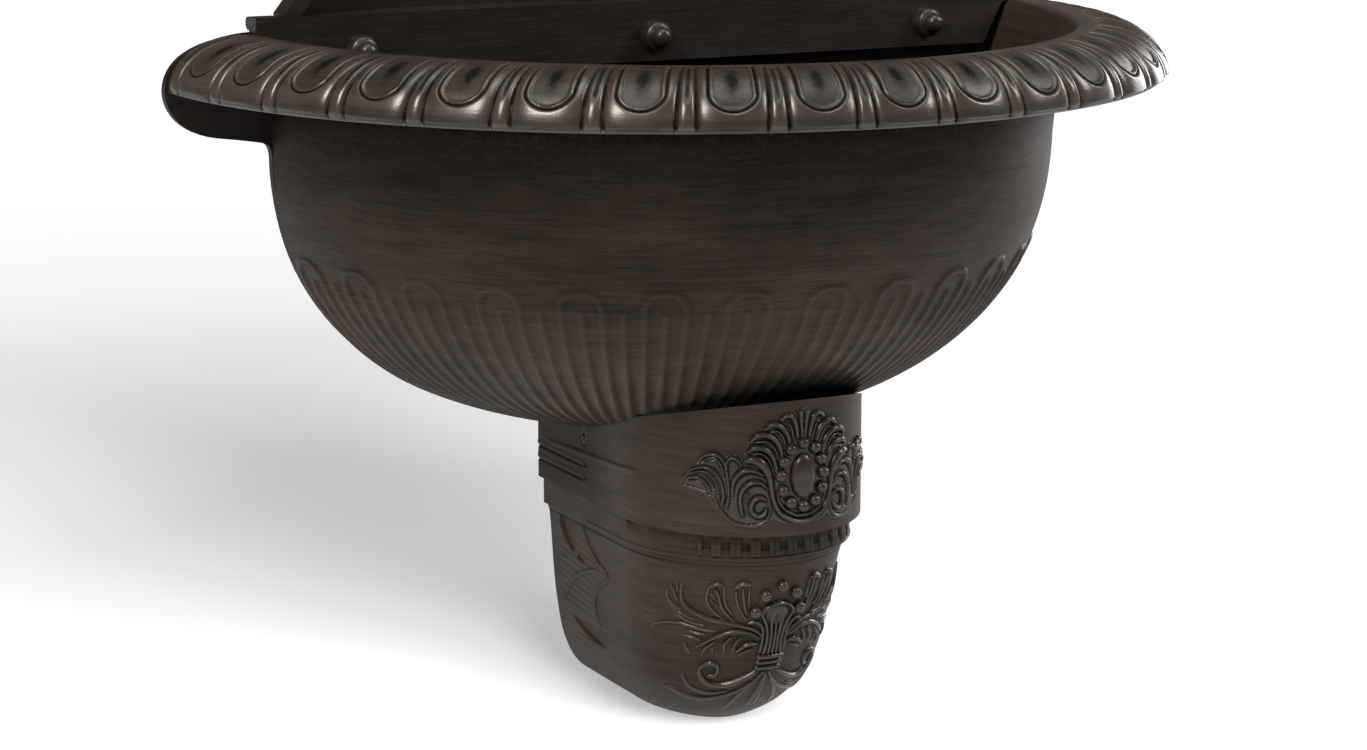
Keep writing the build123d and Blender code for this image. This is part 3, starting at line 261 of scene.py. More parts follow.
def casting(name, tones, rough=0.46, wear_gain=1.0, streak=1.0, gloss=0.32):
    """Brown paint, brushed on in short level strokes, dark in the hollows and in painted shade, and rubbed
    lighter on the ridges and in painted highlights.
    """
    material, tree, shader = new_material(name)
    dark, mid, light = tones
    broad = noise(tree, 1.6, 7.0, 4.0, 0.55)
    level = noise(tree, 9, 15.0, 5.0, 0.6)
    fine = noise(tree, 26, 30.0, 5.0, 0.7)
    brush = noise(tree, 17, 44.0, 3.0, 0.6)
    grain = noise(tree, 1, 700.0, 2.0, 0.5)
    blotch = noise(tree, 2.2, 28.0, 6.0, 0.7)
    speckle = scaled(tree, noise(tree, 1, 420.0, 2.0, 0.6), 0.9, 0.5)

    # The paint's tone, with darker strokes and patches over it.
    streaks = plus(tree, times(tree, level, 0.45), times(tree, fine, 0.55))
    tone = plus(tree, times(tree, streaks, 0.62), times(tree, broad, 0.38))
    base = ramp(tree, tone, [(0.38, dark), (0.49, mid), (0.64, light)])
    strokes = ramp(tree, brush, [(0.36, (0.55, 0.53, 0.52)), (0.47, WHITE)])
    base = mix_colours(tree, 0.6 * streak, base, strokes, "MULTIPLY")
    patches = ramp(tree, blotch, [(0.30, (0.7, 0.69, 0.68)), (0.46, WHITE)])
    base = mix_colours(tree, 0.4 * streak, base, patches, "MULTIPLY")

    # Dirt in the hollows and painted shade make it darker; bare paint on the ridges and painted highlights
    # make it lighter.
    worn_and_shaded = tree.nodes.new("ShaderNodeAttribute")
    worn_and_shaded.attribute_name = "wear_and_shade"
    rubbed_and_shaded = times(tree, worn_and_shaded.outputs["Fac"], wear_gain)
    hollow = limited(tree, times(tree, times(tree, rubbed_and_shaded, -1.0), speckle), 1.0)
    ridge = limited(tree, times(tree, rubbed_and_shaded, scaled(tree, fine, 0.8, 0.35)), 0.85)
    colour = mix_colours(tree, hollow, base, (dark[0] * 0.2, dark[1] * 0.2, dark[2] * 0.21))
    rubbed_and_highlight_tone = (light[0] * 1.75, light[1] * 1.85, light[2] * 1.95)
    colour = mix_colours(tree, times(tree, ridge, 0.6), colour, rubbed_and_highlight_tone)
    tree.links.new(colour, shader.inputs["Base Color"])

    # Ridges are smoother, and hollows are dull.
    roughness = scaled(tree, blotch, 0.16, rough - 0.08)
    roughness = plus(tree, roughness, times(tree, ridge, -0.10))
    roughness = plus(tree, roughness, times(tree, hollow, 0.25))
    tree.links.new(roughness, shader.inputs["Roughness"])
    tree.links.new(scaled(tree, hollow, -0.85 * gloss, gloss), shader.inputs["Specular IOR Level"])
    tree.links.new(scaled(tree, hollow, -0.15, 0.15), shader.inputs["Metallic"])
    relief = plus(tree, times(tree, fine, 0.5), times(tree, grain, 0.2))
    add_grain(tree, shader, plus(tree, relief, times(tree, brush, 0.35)), 0.3, 0.0005)
    return material


def plain(name, colour, rough, metallic, grain_size, vary, grain_height, gloss=0.5):
    """A finish with fine grain, a little colour change and scuffs in its roughness."""
    material, tree, shader = new_material(name)
    grain = noise(tree, 1, grain_size, 3.0, 0.6)
    cloud = noise(tree, 1, 18.0, 4.0, 0.6)
    low = tuple(c * (1 - vary) for c in colour)
    high = tuple(min(c * (1 + vary), 1.0) for c in colour)
    tree.links.new(ramp(tree, cloud, [(0.3, low), (0.7, high)]), shader.inputs["Base Color"])
    tree.links.new(scaled(tree, cloud, 0.2, rough - 0.1), shader.inputs["Roughness"])
    shader.inputs["Metallic"].default_value = metallic
    shader.inputs["Specular IOR Level"].default_value = gloss
    add_grain(tree, shader, grain, grain_height, 0.0003)
    return material


# Dark, middle and light tone of each paint.
BROWN = ((0.028, 0.0185, 0.013), (0.054, 0.0365, 0.026), (0.088, 0.062, 0.046))
PANEL_BROWN = ((0.018, 0.0115, 0.0095), (0.030, 0.020, 0.016), (0.048, 0.034, 0.028))
# The rear plate's paint is darker still, as painted shade: the plate lies in shade under the rim.
SHADED_PLATE_BROWN = ((0.010, 0.007, 0.006), (0.017, 0.012, 0.010), (0.028, 0.020, 0.017))
brown = casting("antique_brown", BROWN, gloss=0.14)
rim_brown = casting("antique_brown_rim", BROWN, 0.32, 1.2, 0.6, 0.85)
relief_brown = casting("antique_brown_relief", BROWN, 0.30, 1.6, 0.5, 0.6)
panel_brown = casting("antique_brown_panel", PANEL_BROWN)
shaded_plate_brown = casting("antique_brown_plate_painted_shade", SHADED_PLATE_BROWN, gloss=0.16)

# Name, colour, roughness, metallic share, grain size, change of tone, grain height, gloss.
PLAIN_FINISHES = {
    "dark_fastener": ("gloss_brown", (0.040, 0.031, 0.027), 0.34, 0.2, 300.0, 0.3, 0.06, 0.6),
    "plated_steel": ("zinc_plate", (0.52, 0.53, 0.54), 0.36, 0.9, 500.0, 0.12, 0.15),
    "rivet_alloy": ("rivet_alloy", (0.6, 0.61, 0.62), 0.34, 0.95, 500.0, 0.1, 0.1),
    "aged_brass": ("aged_brass", (0.13, 0.085, 0.04), 0.34, 0.8, 250.0, 0.35, 0.2),
    "clear_hose": ("black_hose", (0.03, 0.032, 0.034), 0.42, 0.0, 600.0, 0.2, 0.08),
    "black_plastic": ("black_plastic", (0.022, 0.022, 0.024), 0.5, 0.0, 1500.0, 0.2, 0.3),
    "grey_plastic": ("grey_plastic", (0.22, 0.23, 0.24), 0.48, 0.0, 1500.0, 0.12, 0.3),
    "black_rubber": ("black_rubber", (0.02, 0.02, 0.02), 0.7, 0.0, 900.0, 0.25, 0.35),
    "filter_foam": ("filter_foam", (0.05, 0.055, 0.065), 0.95, 0.0, 700.0, 0.5, 1.0),
    "ferrite": ("ferrite", (0.05, 0.05, 0.052), 0.45, 0.1, 800.0, 0.2, 0.2),
    "motor_core": ("motor_core", (0.03, 0.03, 0.03), 0.6, 0.0, 600.0, 0.25, 0.2),
}
by_slot = {slot: plain(*finish) for slot, finish in PLAIN_FINISHES.items()}
by_slot["antique_casting"] = panel_brown
by_slot["cast_ornament"] = relief_brown
by_node = {"corbel_side_screws": brown, "basin_back_plate": shaded_plate_brown}
for node_name, obj in frame["nodes"].items():
    obj.data.materials.clear()
    obj.data.materials.append(by_node.get(node_name, by_slot[frame_slot[node_name]]))


# Rim

# Thickness of the rear plate, where the half-ellipses end.
PLATE = 6.0
# Half width and depth of the rim at its crown and at its lip, and its height.
CROWN = np.array([257.0, 286.5])
LIP = np.array([300.0, 320.6])
RIM_H = 28.7
# Plan angle of the eggs' row at its middle egg, and from egg to egg, in degrees.
MIDDLE_EGG = 268.9
EGG_PITCH = 9.03
# The rim's lower and inner side, from the lip back to the crown: half width, depth and level.
RIM_UNDER = [
    (300.6, 321.2, -1.3), (299.6, 320.2, -2.0), (283.0, 304.0, -4.3), (250.0, 262.0, -8.0),
    (238.0, 252.0, -8.6), (236.5, 250.4, -8.8), (238.5, 254.5, -1.0), (241.4, 263.2, 8.0),
    (244.4, 271.5, 18.0), (246.6, 276.4, 25.0), (247.4, 278.0, 27.6), (248.4, 279.2, 28.5),
    (249.4, 280.0, 28.7), (252.4, 282.6, 28.75), (256.0, 285.6, 28.75),
]


def ellipse_points(w, d, z, t):
    """Half an ellipse in front of the rear plate. t runs from 0 at its left end to 1 at its right end."""
    end = np.arcsin(PLATE / d)
    a = pi + end + t * (pi - 2 * end)
    return np.stack([w * np.cos(a), d * np.sin(a), np.full_like(a, z)], -1)


def egg_relief(q, length, angle, width):
    """Height and shade of the egg moulding at share q from crown to lip, at a plan angle in degrees."""
    turns = (angle - MIDDLE_EGG) / EGG_PITCH
    f = turns - np.round(turns)
    u = f * width
    v = q * length

    # The egg swells towards the lip. d is the distance from its outline.
    over = np.maximum(v - 0.625 * length, 0.0) * 1.25
    d = np.hypot(u, over) - 0.268 * width
    dart_half = 2.6 + 2.3 * q
    edge = 0.5 * width - dart_half - 1.0
    swell = (1.0 + 3.7 * q ** 1.3) * np.sqrt(1.0 - np.clip(np.abs(u) / edge, 0.0, 1.0) ** 3)
    height = swell * (1.0 - 0.42 * smooth(-d, 0.2, 3.0))
    hollow = np.exp(-((u / (0.085 * width)) ** 2) - ((v - 0.42 * length) / (0.2 * length)) ** 2)
    height += 0.45 * bump(d + 1.5, 1.0) - 1.4 * bump(d - 0.2, 0.9) * (np.abs(u) < edge) - 0.15 * hollow

    # A dart stands between two eggs, with a seam on each side and a vein along its middle.
    dart = (0.5 - np.abs(f)) * width
    height += (0.7 + 2.7 * q) * np.sqrt(np.clip(1 - (dart / dart_half) ** 2, 0, 1))
    seam = bump(dart - dart_half - 0.5, 0.9)
    vein = bump(dart, 1.5) * smooth(q, 0.1, 0.2) * smooth(0.78 - q, 0.0, 0.15)
    height -= 0.5 * seam + 0.9 * vein

    # The relief fades out at the crown, and is lower towards the lip and the rim's two ends.
    fade = smooth(q, 0.0, 0.08) * (1.0 - 0.55 * smooth(q, 0.975, 1.0))
    fade = fade * smooth(angle, 181.3, 182.6) * smooth(358.7 - angle, 0.0, 1.3)
    height = height * (1.0 - 0.5 * smooth(angle, 340.0, 354.0))
    height = height * (1.0 - 0.4 * smooth(200.0 - angle, 0.0, 14.0))
    # Shade: dark grooves, seams and vein, a dark patch in each tongue and lighter beads. A painted highlight
    # lies on the lower part of each swell, and painted shade just above the lip. A light line runs along the
    # crown.
    shade = -0.9 * bump(d - 0.2, 1.0) - 0.28 * smooth(-d, 0.5, 2.5) - 0.75 * hollow
    shade += 0.3 * bump(d + 1.5, 0.8) - 0.6 * seam - 0.8 * vein
    shade += 0.35 * smooth(q, 0.72, 0.82) * (d > 1.0) - 0.75 * smooth(q, 0.87, 0.97) * (np.abs(u) < edge)
    crown = 1.3 * bump(v - 1.7, 1.7) * (0.7 + 0.3 * np.cos(12 * pi * f))
    return height * fade, shade * fade + crown


def build_rim():
    cols = 1801
    t = np.linspace(0.0, 1.0, cols)
    rows = []
    for q in np.linspace(0.0, 1.0, 80):
        phi = (pi / 2) * (1.0 - q)
        w, d = CROWN + (LIP - CROWN) * cos(phi)
        rows.append(ellipse_points(w, d, RIM_H * sin(phi), t))
    roll = np.array(rows)
    steps = np.linalg.norm(np.diff(roll, axis=0), axis=-1)
    length = steps.sum(0)
    along = np.vstack([np.zeros((1, cols)), np.cumsum(steps, 0)]) / length
    end = np.arcsin(PLATE / LIP[0])
    angle = np.degrees(pi + end + t * (pi - 2 * end))
    per_degree = np.linalg.norm(np.gradient(roll, axis=1), axis=-1) / np.abs(np.gradient(angle))
    around = np.broadcast_to(angle, along.shape)
    height, shade = egg_relief(along, length[None, :], around, per_degree * EGG_PITCH)
    height[0] = 0.0
    moved, _ = push(roll, height)
    moved[:, 0, 1] = roll[:, 0, 1]
    moved[:, -1, 1] = roll[:, -1, 1]
    under = np.array([ellipse_points(w, d, z, t) for w, d, z in RIM_UNDER])
    points, quads, ends, worn_and_shaded = closed_shell(moved, under, wear_and_shade(height, 20, 0.35) + shade)
    make_object("rim_egg_moulding", "basin_rim", rim_brown, points, quads, ends, worn_and_shaded, 60)


build_rim()


# Bowl

# Level of the shoulder and the bottom, half width and depth at the shoulder, and the outline's power.
BOWL_Z0, BOWL_Z1 = -36.0, -212.6
BOWL_W, BOWL_D = 239.4, 253.5
BOWL_P = 2.31
BOWL_THICK = 5.0
# The hole is opened only below this level.
BOWL_FLOOR = -150.0
# The bowl above its shoulder: half width, depth and level.
BOWL_TOP = [(241.5, 255.7, -7.0), (241.2, 255.4, -14.0), (240.7, 254.9, -21.0), (240.1, 254.2, -28.0)]
# Plan angle of the leftmost flute from the front centre, from flute to flute, and where they end, in degrees.
FIRST_FLUTE = -83.8
FLUTE_PITCH = 11.83
FLUTES_END = 88.6
# Depth of the arches' tops under the rim's lower edge, and the length of their round part.
ARCH_TOP = 98.5
ARCH_ROUND = 12.0
# Middle and radius of the drain's hole, and the section of the ring cast round it (radius, level).
DRAIN_X, DRAIN_Y, DRAIN_R = 42.0, -42.0, 12.3
DRAIN_SEAT = [
    (12.0, -214.4), (22.6, -214.4), (23.0, -214.0), (23.0, -202.4), (22.6, -202.0), (12.4, -202.0),
    (12.0, -202.4),
]


def bowl_size(part, inset=0.0):
    """Half width and depth of the bowl at a share of the way down from its shoulder to its bottom."""
    w = (BOWL_W - inset) * np.maximum(1 - part ** BOWL_P, 0.0) ** (1 / BOWL_P)
    return w, w * (1.059 - 0.072 * part)


def bowl_row(share, inset, least, t):
    """A level row of one of the bowl's skins. share goes by angle from shoulder to bottom, and least is the
    depth that keeps the row in front of the rear plate."""
    part = sin(share * pi / 2)
    w, d = bowl_size(part, inset)
    return ellipse_points(w, max(d, least), BOWL_Z0 + (BOWL_Z1 + inset - BOWL_Z0) * part, t)


def flute_relief(down, offset, radius):
    """Raised ribs: hairpin arches with a rib inside each and one between. offset is in quarter pitches."""
    x = np.abs(offset)
    y = down / ARCH_ROUND
    arch = np.where(y < 1.0, np.abs(np.hypot(x, y - 1.0) - 1.0) * radius, np.abs(x - 1.0) * radius)
    inner = np.where(y < 1.35, np.hypot(x * radius, (1.35 - y) * ARCH_ROUND), x * radius)
    gap = (2.0 - x) * radius
    outer = np.where(y < 1.25, np.hypot(gap, (1.25 - y) * ARCH_ROUND), gap)
    near = np.minimum(np.minimum(arch, inner), outer)
    width = np.minimum(2.3, 0.37 * radius)
    tall = 1.7 * np.clip(radius / 9.0, 0.15, 1.0)
    return np.exp(-((near / width) ** 2) ** 1.1) * tall * smooth(down, -3.0, 2.0)


def turned(section, x, y, first):
    """A ring of the closed section (radius, level) round an upright axis."""
    count = TURN_POINTS
    around = np.linspace(0, 2 * pi, count, endpoint=False)
    r, z = np.array(section).T[..., None]
    points = np.stack(np.broadcast_arrays(x + r * np.cos(around), y + r * np.sin(around), z + 0 * around), -1)
    row, col = np.meshgrid(np.arange(len(r)), np.arange(count), indexing="ij")
    below, right = (row + 1) % len(r), (col + 1) % count
    quads = np.stack([row * count + col, row * count + right, below * count + right, below * count + col], -1)
    return points.reshape(-1, 3), quads.reshape(-1, 4) + first


def stitch(outer, inner, turn):
    """Triangles between two rings of points, each in order of its turn round their axis."""
    n, m = len(outer), len(inner)
    wall, i, j = [], 0, 0
    while i < n or j < m:
        next_outer = turn[outer[(i + 1) % n]] + 2 * pi * ((i + 1) // n)
        next_inner = turn[inner[(j + 1) % m]] + 2 * pi * ((j + 1) // m)
        if j == m or (i < n and next_outer <= next_inner):
            wall.append([outer[i % n], outer[(i + 1) % n], inner[j % m]])
            i += 1
        else:
            wall.append([outer[i % n], inner[(j + 1) % m], inner[j % m]])
            j += 1
    return wall


def open_hole(points, quads, first_inner, x, y, r):
    """Opens a round hole through both skins by spreading the points around it, and walls it."""
    # Faces within seed of the middle go. Points from start to reach make room, and play clears the edge.
    seed, start, reach, play = 6.0, 5.0, 26.0, 0.4
    low = points[:, 2] < BOWL_FLOOR
    dx, dy = points[:, 0] - x, points[:, 1] - y
    far = np.hypot(dx, dy)
    gone = (low & (far < seed))[quads].all(1)
    edge = np.zeros(len(points), bool)
    edge[quads[gone]] = True
    kept = np.zeros(len(points), bool)
    kept[quads[~gone]] = True
    edge &= kept
    near = low & (far < reach) & kept
    spread = r + play + np.maximum(far - start, 0.0) * (reach - play - r) / (reach - start)
    ratio = np.where(near, np.where(edge, r, spread) / np.maximum(far, 1e-6), 1.0)
    points[:, 0] = x + dx * ratio
    points[:, 1] = y + dy * ratio
    turn = np.arctan2(dy, dx)
    ids = np.arange(len(points))
    rings = []
    for skin in (ids < first_inner, ids >= first_inner):
        ring = ids[edge & skin]
        ring = list(ring[np.argsort(turn[ring])])
        points[ring, 2] = points[ring, 2].mean()
        rings.append(ring)
    return quads[~gone], stitch(rings[0], rings[1], turn)


def build_bowl():
    cols = 1201
    t = np.linspace(0.0, 1.0, cols)
    # The rows are closest where the arches begin.
    shares = [(0.0, 0.20, 9), (0.203, 0.34, 80), (0.344, 0.96, 170), (0.966, 0.997, 14)]
    outer = [ellipse_points(w, d, z, t) for w, d, z in BOWL_TOP]
    outer += [bowl_row(share, 0.0, 6.5, t) for span in shares for share in np.linspace(*span)]
    outer = np.array(outer)
    middle = outer[:, cols // 2]
    walked = np.concatenate([[0.0], np.cumsum(np.linalg.norm(np.diff(middle, axis=0), axis=-1))])
    down = (walked - np.interp(ARCH_TOP, -middle[:, 2], walked))[:, None]
    angle = np.degrees(np.arctan2(outer[..., 0] / BOWL_W, -outer[..., 1] / BOWL_D))
    offset = np.mod((angle - FIRST_FLUTE) / FLUTE_PITCH * 4.0 + 2.0, 4.0) - 2.0
    turned_by = np.maximum(np.abs(np.gradient(angle, axis=1)), 1e-6)
    radius = np.linalg.norm(np.gradient(outer, axis=1), axis=-1) / turned_by * FLUTE_PITCH / 4.0
    height = flute_relief(np.broadcast_to(down, angle.shape), offset, radius) * (np.abs(angle) < FLUTES_END)
    height[:5] = 0.0
    height[:, :2] = 0.0
    height[:, -2:] = 0.0
    moved, _ = push(outer, height)
    moved[:, 0] = outer[:, 0]
    moved[:, -1] = outer[:, -1]
    shares = [(0.997, 0.8, 52), (0.78, 0.0, 34)]
    inner = [bowl_row(share, BOWL_THICK, 6.2, t) for span in shares for share in np.linspace(*span)]
    inner += [ellipse_points(235.4, 249.9, -22.0, t), ellipse_points(236.3, 250.4, -8.0, t)]
    # Painted shadow: darker just under the rim, where the rim's shade falls. Painted light: lighter towards
    # the bottom, where light from the floor falls.
    shade = wear_and_shade(height, 8) - 0.95 * np.exp((outer[..., 2] + 7.0) / 30.0)
    shade += 0.3 * smooth(-outer[..., 2], 95.0, 150.0)
    points, quads, ends, worn_and_shaded = closed_shell(moved, np.array(inner), shade)
    quads, wall = open_hole(points, quads, len(moved) * cols, DRAIN_X, DRAIN_Y, DRAIN_R)
    seat, seat_quads = turned(DRAIN_SEAT, DRAIN_X, DRAIN_Y, len(points))
    worn_and_shaded = np.concatenate([worn_and_shaded, np.zeros(len(seat))])
    make_object("fluted_bowl", "basin_bowl", brown, np.vstack([points, seat]), np.vstack([quads, seat_quads]),
                ends + wall, worn_and_shaded, 70)


build_bowl()


# Corbel

# Half width, straight sides, depth of the rounded front.
COLLAR = (72.4, 111.0, 88.0)
COLLAR_THICK = 4.0
COLLAR_FOOT = -247.0
# The drop from top to foot: half width, whole depth, level and length of the straight sides.
DROP = np.array([
    (68.0, 194.4, -247.2, 111.0), (68.4, 195.0, -247.6, 111.0), (68.4, 195.0, -248.2, 111.0),
    (69.0, 186.0, -248.6, 109.7), (69.0, 186.0, -255.0, 109.7), (69.0, 186.0, -263.0, 109.7),
    (68.5, 185.5, -263.7, 109.4), (66.6, 183.5, -264.4, 108.3), (65.7, 182.5, -267.0, 107.7),
    (65.2, 181.0, -270.0, 106.8), (64.2, 176.0, -282.0, 103.8), (62.8, 169.0, -304.0, 99.7),
    (60.4, 162.0, -326.0, 95.6), (56.0, 150.0, -348.0, 88.5), (47.5, 134.0, -365.0, 79.1),
    (34.0, 118.0, -375.0, 69.6), (16.0, 104.0, -380.0, 61.4),
])
# Its hollow from foot to top: half width, whole depth and level.
DROP_INSIDE = [
    (40.0, 126.0, -366.0), (52.0, 146.0, -346.0), (56.4, 158.0, -326.0), (58.8, 165.0, -304.0),
    (60.2, 172.0, -282.0), (61.2, 178.0, -264.0), (64.0, 181.0, -262.0), (64.0, 181.0, -246.6),
]
# Shares of the drop's depth that its straight sides and its rounded front take.
SIDES, FRONT = 0.59, 0.41


def plan_points(s, w, straight, depth):
    """X and Y at arc length s from the front centre of a plan with straight sides and a rounded front."""
    turn = np.linspace(0, pi / 2, 721)
    step = np.hypot(w * np.cos(turn), depth * np.sin(turn))
    walked = np.concatenate([[0.0], np.cumsum((step[1:] + step[:-1]) / 2 * (turn[1] - turn[0]))])
    a = np.abs(s)
    at = np.interp(a, walked, turn)
    over = np.maximum(a - walked[-1], 0.0)
    return np.sign(s) * w * np.sin(at), -straight - depth * np.cos(at) + over, walked[-1] + straight


def plan_length(w, straight, depth):
    """Arc length from the front centre of a plan to its end."""
    return plan_points(np.array([0.0]), w, straight, depth)[2]


def plan_row(unit, w, straight, depth, z):
    """Points spread over a plan at one level, and their arc lengths. unit goes from -1 to 1."""
    arc = unit * plan_length(w, straight, depth)
    x, y, _ = plan_points(arc, w, straight, depth)
    return np.stack([x, y, np.full_like(x, z)], -1), arc


def bowl_underside(x, y):
    """Level of the bowl's outer surface over a plan point, by halving."""
    high = np.full_like(x, -40.0)
    low = np.full_like(x, BOWL_Z1)
    for _ in range(26):
        mid = (high + low) / 2
        w, d = bowl_size(np.clip((BOWL_Z0 - mid) / (BOWL_Z0 - BOWL_Z1), 0.0, 1.0))
        inside = (x / np.maximum(w, 1e-3)) ** 2 + (y / np.maximum(d, 1e-3)) ** 2 < 1.0
        high = np.where(inside, mid, high)
        low = np.where(inside, low, mid)
    return (high + low) / 2


def collar_top(x, y):
    """The bowl's underside, cut by a sloping line in front."""
    cut = bowl_underside(x, y)
    line = -192.5 + (-100.0 - y) * 0.235
    return np.where(y < -100.0, np.minimum(cut, line), cut)


def collar_relief(x, y, z):
    """Two blind grooves, a sunk disc round the screw and a ridge on each side, low and level."""
    height = np.zeros_like(x)
    side = smooth(np.abs(x), 66.0, 71.0)
    for level in (-227.7, -235.9):
        along = smooth(-66.0 - y, 0.0, -1.5) * side
        height -= 0.8 * bump(z - level, 0.8) * along
        height += 0.35 * bump(z - level - 2.2, 1.3) * along
        height += 1.2 * np.exp(-((y + 66.5) / 1.7) ** 2 - ((z - level) / 1.0) ** 2) * side
    height -= 1.3 * smooth(6.6 - np.hypot(y + 65.0, z + 209.0), 0.0, 0.5) * side
    ridge = -222.0 + (-18.0 - y) * 0.0435
    height += 0.8 * bump(z - ridge, 1.6) * side * smooth(-y, 10.0, 20.0) * smooth(-133.0 - y, 4.0, -6.0)
    return height


def build_collar():
    w, straight, depth = COLLAR
    unit = np.linspace(-1.0, 1.0, 521)
    share = np.linspace(0.0, 1.0, 150)[:, None]

    def wall(inset):
        row, _ = plan_row(unit, w - inset, straight, depth - inset, 0.0)
        x, y = row[:, 0], row[:, 1]
        z = COLLAR_FOOT + (collar_top(x, y) - COLLAR_FOOT) * share
        return np.stack([np.broadcast_to(x, z.shape), np.broadcast_to(y, z.shape), z], -1)

    outer = wall(0.0)
    height = collar_relief(outer[..., 0], outer[..., 1], outer[..., 2])
    moved, _ = push(outer, height, False)
    # Painted light: the collar's sides darker and its front lighter, as the light falls on the front.
    shade = wear_and_shade(height, 5) - 0.2 + 0.65 * smooth(-outer[..., 1], 70.0, 125.0)
    points, quads, ends, worn_and_shaded = closed_shell(moved, wall(COLLAR_THICK)[::-1], shade)
    make_object("corbel_collar_casting", "corbel_collar", brown, points, quads, ends, worn_and_shaded, 40)


build_collar()


# Teeth of the dentil band: pitch along the front, shift of the row, and half width of the band.
TOOTH_PITCH = 11.1
TOOTH_SHIFT = 1.05
BAND_HALF = 54.7


def dentils(s, z):
    """Teeth of two ribs each under the collar's edge, on the front only, with blind gaps between them."""
    half = TOOTH_PITCH / 2
    cell = np.mod(s - TOOTH_SHIFT + half, TOOTH_PITCH) - half
    pair = np.minimum(np.abs(cell - 1.5), np.abs(cell + 1.5))
    rib = np.sqrt(np.clip(1 - (pair / 1.5) ** 2, 0, 1))
    front = smooth(BAND_HALF - np.abs(s), 0.0, 0.8)
    above_foot = smooth(z, -261.2, -260.6)
    tooth = smooth(3.2 - np.abs(cell), 0.0, 0.5) * above_foot
    gap = smooth(np.abs(cell) - 3.0, 0.0, 0.5) * smooth(z, -257.8, -257.1) * front
    height = (0.6 + 0.7 * rib) * tooth * front - 0.7 * gap + 0.35 * front * above_foot
    height += 0.6 * bump(z + 262.4, 0.7) * smooth(165.0 - np.abs(s), 0.0, 3.0)
    return height * (z < -248.7)


# Strokes on the drop's sides: distance from the rear, drop below the rim, and half width, also the height.
SIDE_STROKES = [
    [(17, 270, 1.5), (19, 276, 1.8), (24, 283, 1.6), (32, 288, 1)],
    [(37, 289, 0.8), (40, 291, 1.5), (45, 293, 0.7)],
    [(12, 322, 0.8), (18, 315, 1), (31, 304, 1.2), (41, 299, 1.2), (52, 295, 1.1), (63, 292, 0.8)],
    [(22, 331, 0.8), (31, 334, 1.5), (42, 338, 1.6), (52, 340, 1.5), (63, 341, 0.8)],
    [(47, 268, 0.7), (51, 273, 1), (55, 279, 1), (65, 286, 1), (77, 291, 0.9), (77, 295, 0.9), (67, 301, 1),
     (59, 309, 1), (58, 320, 0.9), (61, 328, 0.7)],
]


def within_reach(a, b, rows, reach):
    """Which points (a, b) are in the box around a line, widened by reach."""
    return ((a > rows[:, 0].min() - reach) & (a < rows[:, 0].max() + reach)
            & (b > rows[:, 1].min() - reach) & (b < rows[:, 1].max() + reach))


def stroke_field(a, b, strokes):
    """Height of round ridges along the strokes, with a faint groove beside each."""
    groove = 0.35
    height = np.zeros_like(a)
    for line in strokes:
        rows = curve(line, 0.6)
        w = np.maximum(rows[:, 2], 0.3)
        box = within_reach(a, b, rows, w.max() + 2.5)
        d = np.hypot(a[box][:, None] - rows[:, 0], b[box][:, None] - rows[:, 1]) / w
        best = d.argmin(1)
        near = d[np.arange(len(d)), best]
        ridge = w[best] * np.sqrt(np.clip(1 - near ** 2, 0, 1))
        dip = -groove * np.exp(-((near - 1.0) * w[best] / 0.55) ** 2)
        beside = height[box] + dip * (height[box] < 0.4)
        height[box] = np.where(near < 1.0, np.maximum(height[box], ridge), beside)
    return height


def closing_rows(unit, w, d, z, shares, less):
    """Level rows that close a floor, from or to a line on the centre plane. less is how far d shrinks."""
    rows = []
    for k in shares:
        deep = d - (1 - k) * less
        row, _ = plan_row(unit, max(w * k, 0.01), SIDES * deep, FRONT * deep, z)
        row[:, 0] *= k > 0
        rows.append(row)
    return rows


def drop_relief(outer, arc):
    """The dentil band, two rings under it, the side strokes, and fine hatching among them."""
    x, back, z = outer[..., 0], -outer[..., 1], outer[..., 2]
    height = np.where(z > -264.5, dentils(arc, z), 0.0)
    height += (0.5 * bump(z + 266.0, 0.8) - 0.7 * bump(z + 267.9, 0.7)) * (z < -264.6)
    side = smooth(np.abs(x), 40.0, 56.0) * (z < -266.0)
    height += 1.25 * blur(stroke_field(back, -z, SIDE_STROKES), 3) * side
    hatch = 0.16 * np.sin((z + 0.10 * back) * 2 * pi / 4.6)
    zone = smooth(back, 8.0, 16.0) * smooth(62.0 - back, 0.0, 14.0)
    zone = zone * smooth(z, -352.0, -340.0) * smooth(-272.0 - z, 0.0, 8.0)
    return height + hatch * zone * side


